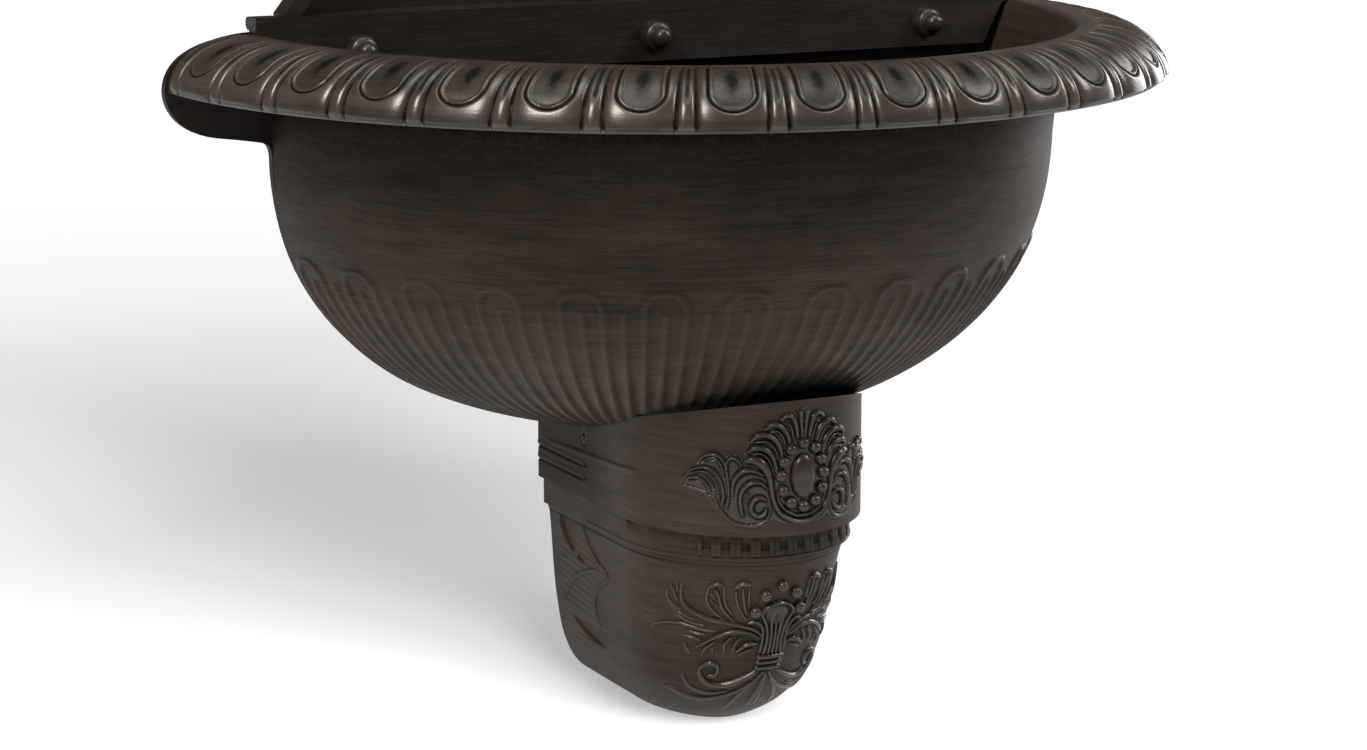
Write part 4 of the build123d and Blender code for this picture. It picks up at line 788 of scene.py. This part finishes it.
def build_drop():
    cols = 801
    unit = np.linspace(-1.0, 1.0, cols)
    line = curve(DROP[4:], 0.7)
    walked = np.concatenate([[0.0], np.cumsum(np.linalg.norm(np.diff(line[:, :3], axis=0), axis=1))])
    even = np.linspace(0.0, walked[-1], int(walked[-1] / 0.55))
    line = np.vstack([DROP[:4], np.stack([np.interp(even, walked, line[:, k]) for k in range(4)], -1)])
    rows = [plan_row(unit, w, straight, d - straight, z) for w, d, z, straight in line]
    outer = np.array([row for row, _ in rows])
    height = drop_relief(outer, np.array([arc for _, arc in rows]))
    moved, _ = push(outer, height)
    moved[:, 0] = outer[:, 0]
    moved[:, -1] = outer[:, -1]
    foot = closing_rows(unit, *DROP[-1, :3], np.linspace(0.93, 0.0, 8), 12)
    lid = closing_rows(unit, *DROP_INSIDE[0], np.linspace(0.0, 0.95, 8), 30)
    inside = [plan_row(unit, w, SIDES * d, FRONT * d, z)[0] for w, d, z in DROP_INSIDE]
    points = np.vstack([moved, foot, lid, inside])
    # Painted shade in the hollows of the dentil band; the whole drop a little lighter.
    shade = wear_and_shade(height, 10) - 0.35 * smooth(-height, 0.2, 0.6) * (outer[..., 2] > -264.5) + 0.18
    worn_and_shaded = np.vstack([shade, np.zeros((len(points) - len(moved), cols))])

    # Both shells, the strip that joins them at the top, and the open side along the wall as one ring.
    count, n_out = len(points), len(moved) + len(foot)
    col = np.arange(cols - 1)
    last = (count - 1) * cols
    top = np.stack([col + last, col + 1 + last, col + 1, col], -1)
    quads = np.vstack([grid_faces(n_out, cols), grid_faces(count - n_out, cols, n_out * cols), top])
    left = [row * cols for row in range(count)]
    right = [row * cols + cols - 1 for row in range(count)]
    ring = left[:n_out] + right[:n_out][::-1][1:] + right[n_out:][::-1] + left[n_out:][1:]
    points = points.reshape(-1, 3)
    make_object("corbel_drop_casting", "corbel_drop", brown, points, quads, [ring], worn_and_shaded.ravel(), 50)


build_drop()


# Ornaments. A line's points are (side, drop, half width, height): side is the distance along the casting
# from its front centre, and drop the distance below the rim. The right half mirrors the left one.

CARTOUCHE = [
    [(32.5, 202.5, 1.6, 2.6), (29, 202, 2.6, 3.6), (25, 203.5, 3, 4.2), (21.5, 207.5, 2.6, 3.8),
     (19.5, 213, 1.9, 3.2), (18.5, 219, 1.6, 2.8), (17.3, 225, 1.5, 2.7), (14.5, 231.5, 1.5, 2.7),
     (9.5, 236, 1.5, 2.7), (4, 238.2, 1.5, 2.7), (0, 238.7, 1.5, 2.7)],
    [(15.5, 221, 0.8, 1.8), (13.7, 227.5, 0.9, 2), (9.3, 232.3, 1, 2.4), (4.5, 234.6, 1, 2.4),
     (0, 235.2, 1, 2.4)],
    [(31.5, 197.5, 1.3, 2.4), (28, 195.2, 1.9, 3.3), (23, 195.6, 1.9, 3.3), (18.7, 199.3, 1.7, 3),
     (16.5, 204.5, 1.4, 2.6), (15.8, 209, 1, 2)],
    [(28.5, 199.2, 0.7, 2), (24, 198.7, 0.8, 2.2), (20.5, 201.6, 0.8, 2.2), (18.2, 206, 0.7, 1.8)],
    [(30, 191.5, 1.2, 2.4), (26.5, 188.4, 1.9, 3.3), (21, 188, 1.9, 3.3), (15.8, 191.7, 1.7, 3),
     (13.3, 197, 1.4, 2.6), (12.8, 201, 1, 2)],
    [(27, 192.3, 0.7, 2), (22, 191.6, 0.8, 2.2), (18, 194.2, 0.8, 2.2), (15.5, 199, 0.7, 1.8)],
    [(22, 184.8, 1.2, 2.4), (18.3, 182, 1.8, 3.3), (13.6, 183.2, 1.8, 3.3), (10.3, 187, 1.6, 3),
     (8.3, 192.5, 1.3, 2.4)],
    [(20, 187.2, 0.7, 1.9), (15.5, 186, 0.8, 2.1), (12.2, 189.4, 0.8, 2.1), (10.8, 194, 0.7, 1.7)],
    [(13.3, 179.6, 1.1, 2.3), (9.7, 177.3, 1.6, 3.1), (6.4, 178.8, 1.6, 3.1), (4.6, 184, 1.4, 2.8),
     (3.6, 190, 1, 2.2)],
    [(10.5, 182, 0.7, 1.8), (8, 183, 0.8, 2), (6.6, 187.5, 0.8, 2), (5.8, 192, 0.6, 1.5)],
    [(1.9, 176.2, 1.6, 3.3), (1.8, 180, 1.2, 2.6), (1.2, 185, 1, 2.4), (0.8, 190, 0.8, 2)],
    [(21.5, 225.2, 0.8, 2), (24.5, 223.6, 1.2, 2.8), (28, 225, 1.5, 3.3), (29.8, 228.6, 1.4, 3.1),
     (29, 232.4, 1.3, 2.8), (26, 234.5, 1.3, 2.8), (22.8, 233.4, 1.3, 3.1), (21.3, 230.8, 1, 2.4)],
    [(20.5, 218.5, 0.8, 1.8), (24.5, 215.3, 1.2, 2.6), (29.5, 215.2, 1.5, 3.1), (33.7, 218.3, 1.5, 3),
     (35.6, 223.5, 1.3, 2.6), (35.4, 229, 1.2, 2.4), (34.4, 233.6, 1, 2.4)],
    [(23, 210.8, 0.8, 1.8), (28.5, 208.3, 1.4, 2.6), (34, 208.5, 1.7, 3.1), (38, 212, 1.6, 2.8),
     (40, 217, 1.2, 2.2), (40.4, 222.5, 0.9, 1.6)],
    [(51, 224.5, 0.8, 1.2), (47.5, 230.5, 1, 1.6), (41.5, 237, 1, 1.6), (34.5, 239.8, 1, 1.6),
     (27, 239.9, 1, 1.7), (21.8, 237.2, 1, 1.7), (19.3, 231.5, 0.9, 1.6), (19.3, 227, 0.7, 1.4)],
    [(31.8, 221, 0.6, 1.4), (32.2, 227, 0.6, 1.5), (31, 232, 0.6, 1.4)],
    [(59.5, 204, 0.8, 1.6), (56, 200.9, 1.2, 2.4), (51.5, 199.6, 1.3, 2.7), (47, 201, 1.2, 2.4),
     (44.3, 205.5, 1.1, 2.2), (43.2, 211, 1, 2), (42.3, 217, 0.9, 1.8), (42.2, 223, 0.9, 1.8),
     (43.5, 229.8, 0.8, 2.2)],
    [(57, 203.6, 0.6, 1.6), (53, 201.7, 0.8, 2.2), (48.7, 202.2, 0.8, 2), (46.2, 206.5, 0.7, 1.8),
     (45, 212, 0.7, 1.6)],
    [(43.5, 207.5, 0.8, 2), (43.2, 203.6, 1, 2.4), (40.5, 201.2, 1.1, 2.5), (37, 202.6, 1, 2.3),
     (35, 206, 0.7, 1.8)],
    [(67, 211.5, 0.7, 1.2), (62, 208.6, 1, 1.8), (56, 207.6, 1.1, 2.3), (50.8, 209.2, 1.1, 2.2),
     (47.4, 213.5, 1, 2), (45.6, 219, 1, 2), (45.2, 225, 1, 2.2), (46.8, 229, 0.7, 1.6)],
    [(63.5, 211.2, 0.6, 1.4), (58, 209.9, 0.7, 1.9), (53, 211.4, 0.7, 1.8), (49.6, 215.8, 0.7, 1.7),
     (48.2, 221, 0.8, 2), (48, 225, 0.8, 2.4)],
    [(66.5, 214.6, 0.8, 2), (61.5, 213.4, 1, 2.6), (57, 215, 0.9, 2.2), (54, 218.5, 0.8, 1.8),
     (53, 222, 0.8, 2)],
    [(71.5, 219, 0.7, 1.2), (69.6, 215.3, 0.8, 1.5), (66, 212, 0.8, 1.4)],
    [(71.5, 219.2, 0.7, 1.3), (63, 220.2, 0.8, 1.3), (56, 222, 0.8, 1.3), (51, 224.8, 0.8, 1.3)],
    [(56.5, 212.3, 0.7, 1.9), (53, 214.8, 0.7, 1.8), (51, 218.5, 0.7, 1.7)],
]
CARTOUCHE_PLATE = [
    (0, 173.6), (3, 174), (5, 176.6), (9, 175.6), (14, 178.2), (16, 180.6), (21.5, 183), (23, 185.6),
    (28, 186.7), (32, 191.6), (33.3, 197), (35, 202), (38, 199.4), (42, 200), (45, 201.2), (48, 198.8),
    (53, 198), (58, 200.2), (61.5, 205), (66, 209.6), (71, 214), (73.6, 220), (63, 221.8), (55.5, 224.2),
    (51, 229), (44.5, 236.6), (37, 241), (28, 242), (21, 240.2), (17.5, 236.5), (10, 240.2), (0, 241.4),
]
CARTOUCHE_BEADS = [
    (0, 193.7, 3.2), (7.4, 197, 3.3), (11.5, 204, 3.3), (13.3, 211.7, 3.3), (12, 220.4, 3.3),
    (7.4, 227.4, 3.3), (0, 230, 3.3),
]

LILY = [
    [(10.2, 299.5, 0.9, 2.2), (8.8, 296.2, 1.2, 2.8), (5, 293.3, 1.2, 2.8), (0, 292.2, 1.2, 2.8)],
    [(9.5, 300, 1, 2), (6.8, 305, 1.2, 2.2), (5, 311, 1.2, 2.2), (4.6, 317, 1.2, 2.2),
     (5.2, 324, 1.2, 2.2)],
    [(4, 300, 1.2, 2), (3, 307, 1.1, 2.2), (2.2, 314, 1.1, 2.2), (2.4, 324, 1.1, 2.2)],
    [(0, 304.5, 0.7, 1.6), (0, 312, 1, 2.2), (0, 324, 1.1, 2.2)],
    [(17, 304.5, 0.8, 1.4), (12.5, 303.6, 1.2, 2.2), (9, 306.5, 1.2, 2.2), (7.3, 312, 1.1, 2),
     (7.2, 318, 1, 1.8), (7.4, 323.5, 0.9, 1.6)],
    [(7.4, 326.6, 1.4, 2.8), (0, 326.4, 1.5, 3.2)],
    [(7.2, 330.2, 1.4, 2.7), (0, 330, 1.5, 3.1)],
    [(7, 333.9, 1.4, 2.6), (0, 333.7, 1.5, 3)],
    [(8, 313, 1, 1.8), (13, 308.5, 1.2, 2), (20, 306, 1.2, 2.2), (28, 303.8, 1.2, 2.2),
     (34, 302.6, 1.5, 2.7), (41, 301, 1.3, 2.5), (48, 298.3, 1.2, 2.4), (54, 295, 1.1, 2.2),
     (58, 290, 1, 1.8), (59.3, 284, 0.8, 1.4), (59.5, 281, 0.5, 1)],
    [(68.3, 286, 0.7, 1), (67.5, 290.5, 0.9, 1.3), (63, 294.5, 0.9, 1.4), (58, 297.5, 0.8, 1.2)],
    [(66.5, 282.5, 0.7, 1), (63.5, 287, 0.8, 1.2), (60.5, 291.5, 0.8, 1.2)],
    [(62.5, 281, 0.6, 0.9), (61.2, 286, 0.7, 1)],
    [(67, 292.8, 0.6, 0.9), (61, 297.5, 1, 1.5), (54, 301, 0.9, 1.4), (48, 303, 0.7, 1)],
    [(62, 298.5, 0.5, 0.9), (55, 303, 1, 1.5), (48, 305.5, 0.9, 1.3), (42, 306.5, 0.7, 1)],
    [(75.5, 311.5, 0.6, 1), (72, 308.3, 0.9, 1.4), (65, 306.3, 1, 1.5), (57, 305.8, 1, 1.5),
     (49, 307.3, 1, 1.5), (42, 309, 1, 1.4), (35, 309.5, 0.8, 1.2)],
    [(50, 310.5, 0.7, 1.1), (45, 311.3, 1, 1.8), (41, 311.6, 0.8, 1.5)],
    [(54, 313.5, 0.6, 0.9), (49, 314.2, 1, 1.3), (43, 315.5, 0.9, 1.2)],
    [(52.5, 318, 0.6, 0.9), (50.5, 321.5, 1, 1.3), (48, 324.5, 0.6, 0.9)],
    [(42.5, 281.5, 0.9, 1.6), (40.5, 279.5, 1.4, 2.7), (37.5, 278.9, 1.3, 2.5), (35.2, 279.8, 0.8, 1.6)],
    [(42.5, 281.5, 0.9, 1.5), (43.3, 287, 1.1, 1.6), (41.5, 292.5, 1.1, 1.6), (37, 297.5, 1, 1.6),
     (31, 302, 0.9, 1.5)],
    [(38.5, 283, 0.7, 1.6), (36, 288, 1, 1.9), (33.5, 294, 1, 1.9), (29, 299.5, 0.9, 1.7),
     (24.5, 304, 0.8, 1.5)],
    [(34.2, 280.5, 0.7, 1.4), (33.3, 286, 0.9, 1.5), (31.8, 292, 0.9, 1.5), (27.5, 298, 0.9, 1.5)],
    [(41, 285.5, 0.6, 1.3), (37.5, 289, 0.6, 1.3)],
    [(40.5, 290, 0.6, 1.3), (36, 293.5, 0.6, 1.3)],
    [(28.3, 281.8, 0.8, 1.6), (26, 279.4, 1.5, 2.9), (22.8, 278.3, 1.5, 2.9), (19.8, 279.3, 0.9, 1.8)],
    [(27, 283.5, 0.7, 1.3), (26.3, 288, 1, 1.6), (24.3, 293, 1, 1.6), (21.5, 298, 0.9, 1.5),
     (18.5, 302, 0.8, 1.4)],
    [(23.5, 281.5, 0.7, 1.5), (22.4, 287, 0.9, 1.8), (20.8, 293, 0.9, 1.8), (18.8, 298.5, 0.8, 1.5)],
    [(19.8, 281, 0.6, 1.2), (19.2, 286.5, 0.8, 1.4), (18.6, 292, 0.8, 1.4)],
    [(9, 314.5, 0.9, 1.6), (15, 310.8, 1.1, 1.9), (22, 309.2, 1.4, 2.4), (28, 310, 1.4, 2.6),
     (34, 312.5, 1.4, 2.6), (40, 316.5, 1.1, 1.9), (45, 320.5, 0.7, 1.2)],
    [(40.5, 326, 0.6, 1), (39.5, 321, 1.2, 1.6), (36, 317.5, 1, 1.5), (34, 315, 0.7, 1.2)],
    [(34.5, 324, 0.5, 0.9), (35.5, 320, 0.8, 1.2)],
    [(28.5, 322, 0.7, 1.1), (28.8, 317.5, 1.1, 1.7), (26, 313.5, 0.9, 1.5)],
    [(23.3, 322.5, 0.7, 1.1), (22.8, 317.5, 1.1, 1.7), (20, 313.3, 0.8, 1.3)],
    [(20.8, 321.8, 0.8, 1.8), (18, 319, 1.3, 2.7), (14.5, 317.3, 1.3, 2.5), (10.5, 317.6, 0.9, 1.8)],
    [(19, 324, 0.6, 1.1), (16, 322, 1, 1.5), (12.5, 321, 0.7, 1.2)],
    [(7, 336.8, 1.1, 2.2), (11, 339.4, 1.4, 2.9), (16, 342.2, 1.5, 3.1), (21, 344.2, 1.5, 3.1),
     (26, 345, 1.5, 2.8), (32, 344.3, 1.5, 2.4), (37, 341, 1.4, 2.2), (39.7, 336, 1.3, 2.1),
     (38.7, 331.9, 1.4, 2.5), (35, 330, 1.5, 2.7), (31, 331.2, 1.3, 2.3), (29.3, 335, 1.2, 2),
     (30.5, 338.6, 1.1, 1.8), (33.5, 339, 1, 1.6)],
    [(2, 338, 0.9, 1.4), (6, 344, 1.2, 1.6), (10, 350, 1.3, 1.6), (13, 357, 1.3, 1.4), (15, 364, 1, 1)],
    [(4.5, 342, 0.8, 1.2), (12, 349, 1.2, 1.6), (21, 353.5, 1.3, 1.6), (31, 356, 1.3, 1.6),
     (42, 354.8, 1.2, 1.5), (51, 351.5, 1, 1.3), (58, 349.5, 0.6, 0.8)],
    [(20, 350, 0.8, 1.2), (29, 351.5, 1.1, 1.5), (38, 349.5, 1.1, 1.5), (45, 345.5, 1, 1.3),
     (49.5, 339.5, 0.7, 1)],
    [(0, 339, 0.9, 1.4), (1, 350, 1.2, 1.5), (2, 362, 1.2, 1.2)],
]
LILY_BEADS = [
    (0, 281.5, 3.3), (9.6, 287, 3.3), (14, 297, 3.4),
]

GRID_STEP = 0.4
# How far a relief's underside lies in the casting, and the level above which the relief stands.
SINK = 1.2
RELIEF_FLOOR = -0.7


def ridge_field(a, b, lines, start):
    """Height of round ridges along the lines, falling below zero away from them, and the dip beside them."""
    height = start.copy()
    dip = np.zeros_like(a)
    for line in lines:
        rows = curve(line, 0.5)
        w, tall = np.maximum(rows[:, 2], 0.3), rows[:, 3]
        box = within_reach(a, b, rows, w.max() + 3.0)
        d = np.hypot(a[box][:, None] - rows[:, 0], b[box][:, None] - rows[:, 1])
        best = (d / w).argmin(1)
        near, width, top = d[np.arange(len(d)), best], w[best], tall[best]
        share = near / width
        value = np.where(share < 1.0, top * np.sqrt(np.clip(1 - share ** 2, 0, 1)), -1.4 * (near - width))
        height[box] = np.maximum(height[box], value)
        dip[box] = np.maximum(dip[box], np.where(share < 1.0, 0.0, np.exp(-((near - width) / 0.7) ** 2)))
    return height, dip


def plate_field(a, b, outline, tall):
    """A low flat plate with a rounded edge, below zero outside its outline (a closed half outline)."""
    p = np.array(outline, float)
    inside = np.zeros(a.shape, bool)
    ring = np.vstack([p, [p[-1] * (0, 1) - (5, 0)], [p[0] * (0, 1) - (5, 0)]])
    nearest = np.full(a.shape, 1e9)
    for i in range(len(ring)):
        x0, y0 = ring[i]
        x1, y1 = ring[(i + 1) % len(ring)]
        if y0 != y1:
            level = (b >= min(y0, y1)) & (b < max(y0, y1))
            inside ^= level & (a > x0 + (b - y0) * (x1 - x0) / (y1 - y0))
        if i < len(p) - 1:
            length = (x1 - x0) ** 2 + (y1 - y0) ** 2
            t = np.clip(((a - x0) * (x1 - x0) + (b - y0) * (y1 - y0)) / length, 0, 1)
            nearest = np.minimum(nearest, np.hypot(a - x0 - t * (x1 - x0), b - y0 - t * (y1 - y0)))
    d = np.where(inside, nearest, -nearest)
    edge = np.clip(d / 1.6, 0, 1)
    return np.where(d > 0, tall * np.sqrt(1 - (1 - edge) ** 2), 1.4 * d)


def domes(a, b, height, beads, lift):
    """Round beads (side, drop, radius) that stand lift above the plate."""
    for side, drop, r in beads:
        d = np.hypot(a - side, b - drop)
        value = np.where(d < r, lift + 1.05 * np.sqrt(np.clip(r ** 2 - d ** 2, 0, None)), -2.5 * (d - r))
        height = np.maximum(height, value)
    return height


def relief_grid(half, high, low):
    """Arc length and level of a grid over a relief, and its distances from the centre and below the rim."""
    s = np.arange(-half, half + 0.01, GRID_STEP)
    s, z = np.meshgrid(s, np.arange(high, low, -GRID_STEP))
    return s, z, np.abs(s), -z


def relief_object(name, node, base, height):
    """Closed raised pieces on a casting's surface, where the height field is above its floor."""
    front, normal = push(base, height)
    back = base - normal * SINK
    keep = height > RELIEF_FLOOR
    cell = keep[:-1, :-1] & keep[1:, :-1] & keep[:-1, 1:] & keep[1:, 1:]
    count = keep.size
    index = np.arange(count).reshape(keep.shape)
    a, b, c, d = index[:-1, :-1], index[:-1, 1:], index[1:, 1:], index[1:, :-1]
    faces = [np.stack([a, b, c, d], -1)[cell], np.stack([a, d, c, b], -1)[cell] + count]
    pad = np.pad(cell, 1)
    above, right, below, left = pad[:-2, 1:-1], pad[1:-1, 2:], pad[2:, 1:-1], pad[1:-1, :-2]
    for start, end, neighbour in ((a, b, above), (b, c, right), (c, d, below), (d, a, left)):
        open_side = cell & ~neighbour
        p, q = start[open_side], end[open_side]
        faces.append(np.stack([q, p, p + count, q + count], -1))
    quads = np.vstack(faces)
    points = np.concatenate([front.reshape(-1, 3), back.reshape(-1, 3)])
    used = np.unique(quads)
    remap = np.full(len(points), -1)
    remap[used] = np.arange(len(used))
    worn_and_shaded = np.concatenate([wear_and_shade(np.maximum(height, -0.2), 7, 0.9).ravel(), np.zeros(count)])
    make_object(name, node, relief_brown, points[used], remap[quads], worn_and_shaded=worn_and_shaded[used])


def build_cartouche():
    s, z, a, b = relief_grid(76.0, -172.0, -244.0)
    plate = plate_field(a, b, CARTOUCHE_PLATE, 1.1)
    well = np.hypot(a / 15.5, (b - 212.5) / 22.0)
    plate = np.where(plate > 0, plate - 0.7 * smooth(1.0 - well, 0.0, 0.12), plate)
    height, dip = ridge_field(a, b, CARTOUCHE, plate)
    height = np.where(height > 0.2, height - 0.8 * dip * (height < 2.2), height)
    height = domes(a, b, height, CARTOUCHE_BEADS, 1.2)
    oval = 1 - (a / 7.3) ** 2 - ((b - 212.5) / 12.6) ** 2
    height = np.where(oval > 0, 1.4 + 4.4 * np.sqrt(np.clip(oval, 0, 1)), height)
    x, y, _ = plan_points(s, *COLLAR)
    relief_object("shell_cartouche", "cartouche_ornament", np.stack([x, y, z], -1), height)


def build_lily():
    s, z, a, b = relief_grid(78.0, -275.0, -367.0)
    bud = 1 - (a / 7.2) ** 2 - ((b - 299.5) / 7.4) ** 2
    bud = np.where(bud > 0, 2.0 * np.sqrt(np.clip(bud, 0, 1)), 3.0 * bud)
    start = np.maximum(-5.0, bud) - 1.6 * np.exp(-(a / 1.4) ** 2 - ((b - 300.5) / 3.0) ** 2)
    height, dip = ridge_field(a, b, LILY, start)
    height = np.where(height > 0.1, height - 0.5 * dip * (height < 1.6), height)
    height = domes(a, b, height, LILY_BEADS, 1.0)
    # The drop's half width and depth at each row.
    line = curve(DROP[9:], 1.0)
    line = line[np.argsort(line[:, 2])]
    w, d = (np.interp(z[:, 0], line[:, 2], line[:, k]) for k in (0, 1))
    base = [plan_points(s[i], w[i], SIDES * d[i], FRONT * d[i])[:2] + (z[i],) for i in range(len(z))]
    relief_object("lily_spray", "lily_ornament", np.moveaxis(np.array(base), 1, 2), height)


build_cartouche()
build_lily()


# Domed nuts

# Outline of a nut (radius, height over the washer), its hexagon, and where the nuts stand.
NUT_PROFILE = [
    (0.0, 0.0), (8.4, 0.0), (8.9, 0.5), (9.05, 3.0), (8.8, 4.8), (8.2, 6.0), (7.2, 6.9), (6.4, 7.3),
    (6.15, 8.0), (6.1, 9.4), (5.8, 11.0), (5.1, 12.6), (4.0, 13.9), (2.6, 14.7), (1.2, 15.05), (0.0, 15.1),
]
HALF_FLATS = 8.5
HEXAGON_TALL = 7.0
NUT_X = (-187.0, 0.0, 187.0)
NUT_Y, NUT_Z = -13.6, 17.0


def build_nuts():
    line = curve(NUT_PROFILE, 0.3)[1:-1]
    around = np.linspace(0, 2 * pi, TURN_POINTS, endpoint=False)
    hexagon = HALF_FLATS / np.cos(np.mod(around, pi / 3) - pi / 6)
    row, col = np.meshgrid(np.arange(len(line) - 1), np.arange(TURN_POINTS), indexing="ij")
    here, right = row * TURN_POINTS + col, row * TURN_POINTS + (col + 1) % TURN_POINTS
    faces = np.stack([here, right, right + TURN_POINTS, here + TURN_POINTS], -1).reshape(-1, 4)
    points, quads, caps = [], [], []
    for x in NUT_X:
        first = len(points) * TURN_POINTS
        for r, h in line:
            size = np.full_like(around, max(r, 0.02))
            if h < HEXAGON_TALL:
                size = np.minimum(hexagon, size)
            y = np.full_like(around, NUT_Y - h)
            points.append(np.stack([x + size * np.cos(around), y, NUT_Z + size * np.sin(around)], -1))
        quads.append(faces + first)
        top = first + (len(line) - 1) * TURN_POINTS
        caps.append([first + i for i in reversed(range(TURN_POINTS))])
        caps.append([top + i for i in range(TURN_POINTS)])
    points, quads = np.vstack(points), np.vstack(quads)
    make_object("domed_nuts", "acorn_nuts", by_slot["dark_fastener"], points, quads, caps, sharp=40)


build_nuts()


# Camera, light and floor. From here on, lengths are in metres.

def link(name, data, at=(0.0, 0.0, 0.0)):
    obj = bpy.data.objects.new(name, data)
    obj.location = at
    scene.collection.objects.link(obj)
    return obj


def pointing(direction):
    """Rotation of a lamp that shines along a direction."""
    return Vector(direction).to_track_quat("-Z", "Y").to_euler()


def lamp(name, at, aim, size, power, colour=WHITE):
    """A lamp of a given width and height."""
    data = bpy.data.lights.new(name, "AREA")
    data.shape = "RECTANGLE"
    data.size, data.size_y = size
    data.energy = power
    data.color = colour
    obj = link(name, data, at)
    obj.rotation_euler = pointing(Vector(aim) - Vector(at))
    return obj


def seen_glow(tree, seen_part, always):
    """A strength that is higher where the camera looks, directly or through something clear."""
    path = tree.nodes.new("ShaderNodeLightPath")
    seen = math_node(tree, "MAXIMUM", path.outputs["Is Camera Ray"], path.outputs["Is Transmission Ray"])
    return scaled(tree, seen, seen_part, always)


# The camera's place, and in degrees how far it looks down and to the right.
CAMERA_AT = (-0.8996, -1.8626, 0.2268)
LOOKS_DOWN, LOOKS_RIGHT = 11.56, 26.74
camera_data = bpy.data.cameras.new("camera")
camera_data.lens = 90.04
camera_data.sensor_width = 36.0
camera = link("camera", camera_data, CAMERA_AT)
camera.rotation_euler = (radians(90 - LOOKS_DOWN), 0.0, radians(-LOOKS_RIGHT))
scene.camera = camera

# Name, place, aim, width and height, watts, colour.
lamps = [
    lamp("left", (-1.22, -0.85, 1.30), (0, -0.15, -0.1), (0.5, 0.8), 24, (1.0, 0.95, 0.87)),
    lamp("right", (1.36, -0.88, 1.10), (0, -0.15, -0.1), (0.45, 0.8), 15),
    lamp("top", (0.1, -0.35, 2.0), (0, -0.15, 0.0), (1.2, 1.2), 14),
    lamp("edge", (1.6, 0.45, 0.15), (0.1, -0.15, -0.05), (0.5, 0.8), 10),
]

world = bpy.data.worlds.new("world")
scene.world = world
world.use_nodes = True
background = world.node_tree.nodes["Background"]
background.inputs["Color"].default_value = (*WHITE, 1.0)
world.node_tree.links.new(seen_glow(world.node_tree, 0.9, 0.10), background.inputs["Strength"])

# The floor lies just under the drop's foot.
FLOOR_Z = -0.3802
FLOOR_HALF = 30.0
corners = [(x * FLOOR_HALF, y * FLOOR_HALF, FLOOR_Z) for x, y in ((-1, -1), (1, -1), (1, 1), (-1, 1))]
floor_mesh = bpy.data.meshes.new("floor")
floor_mesh.from_pydata(corners, [], [(0, 1, 2, 3)])
floor = link("floor", floor_mesh)
floor_material, floor_tree, floor_shader = new_material("floor_white")
floor_shader.inputs["Base Color"].default_value = (0.8, 0.8, 0.8, 1.0)
floor_shader.inputs["Roughness"].default_value = 0.9
floor_shader.inputs["Emission Color"].default_value = (*WHITE, 1.0)
floor_tree.links.new(seen_glow(floor_tree, 0.31, 0.12), floor_shader.inputs["Emission Strength"])
floor_mesh.materials.append(floor_material)

# A low sun from the front lights the floor alone and draws the long soft shadow. The lamps light the rest.
sun_data = bpy.data.lights.new("floor_sun", "SUN")
sun_data.energy = 5.35
sun_data.angle = radians(38)
sun = link("floor_sun", sun_data)
sun.rotation_euler = pointing((0.03, 1.0, -0.45))
floor_only = bpy.data.collections.new("floor_only")
floor_only.objects.link(floor)
sun.light_linking.receiver_collection = floor_only
but_floor = bpy.data.collections.new("but_floor")
but_floor.objects.link(floor)
but_floor.collection_objects[0].light_linking.link_state = "EXCLUDE"
for lit in lamps:
    lit.light_linking.receiver_collection = but_floor

scene.view_settings.view_transform = "Standard"
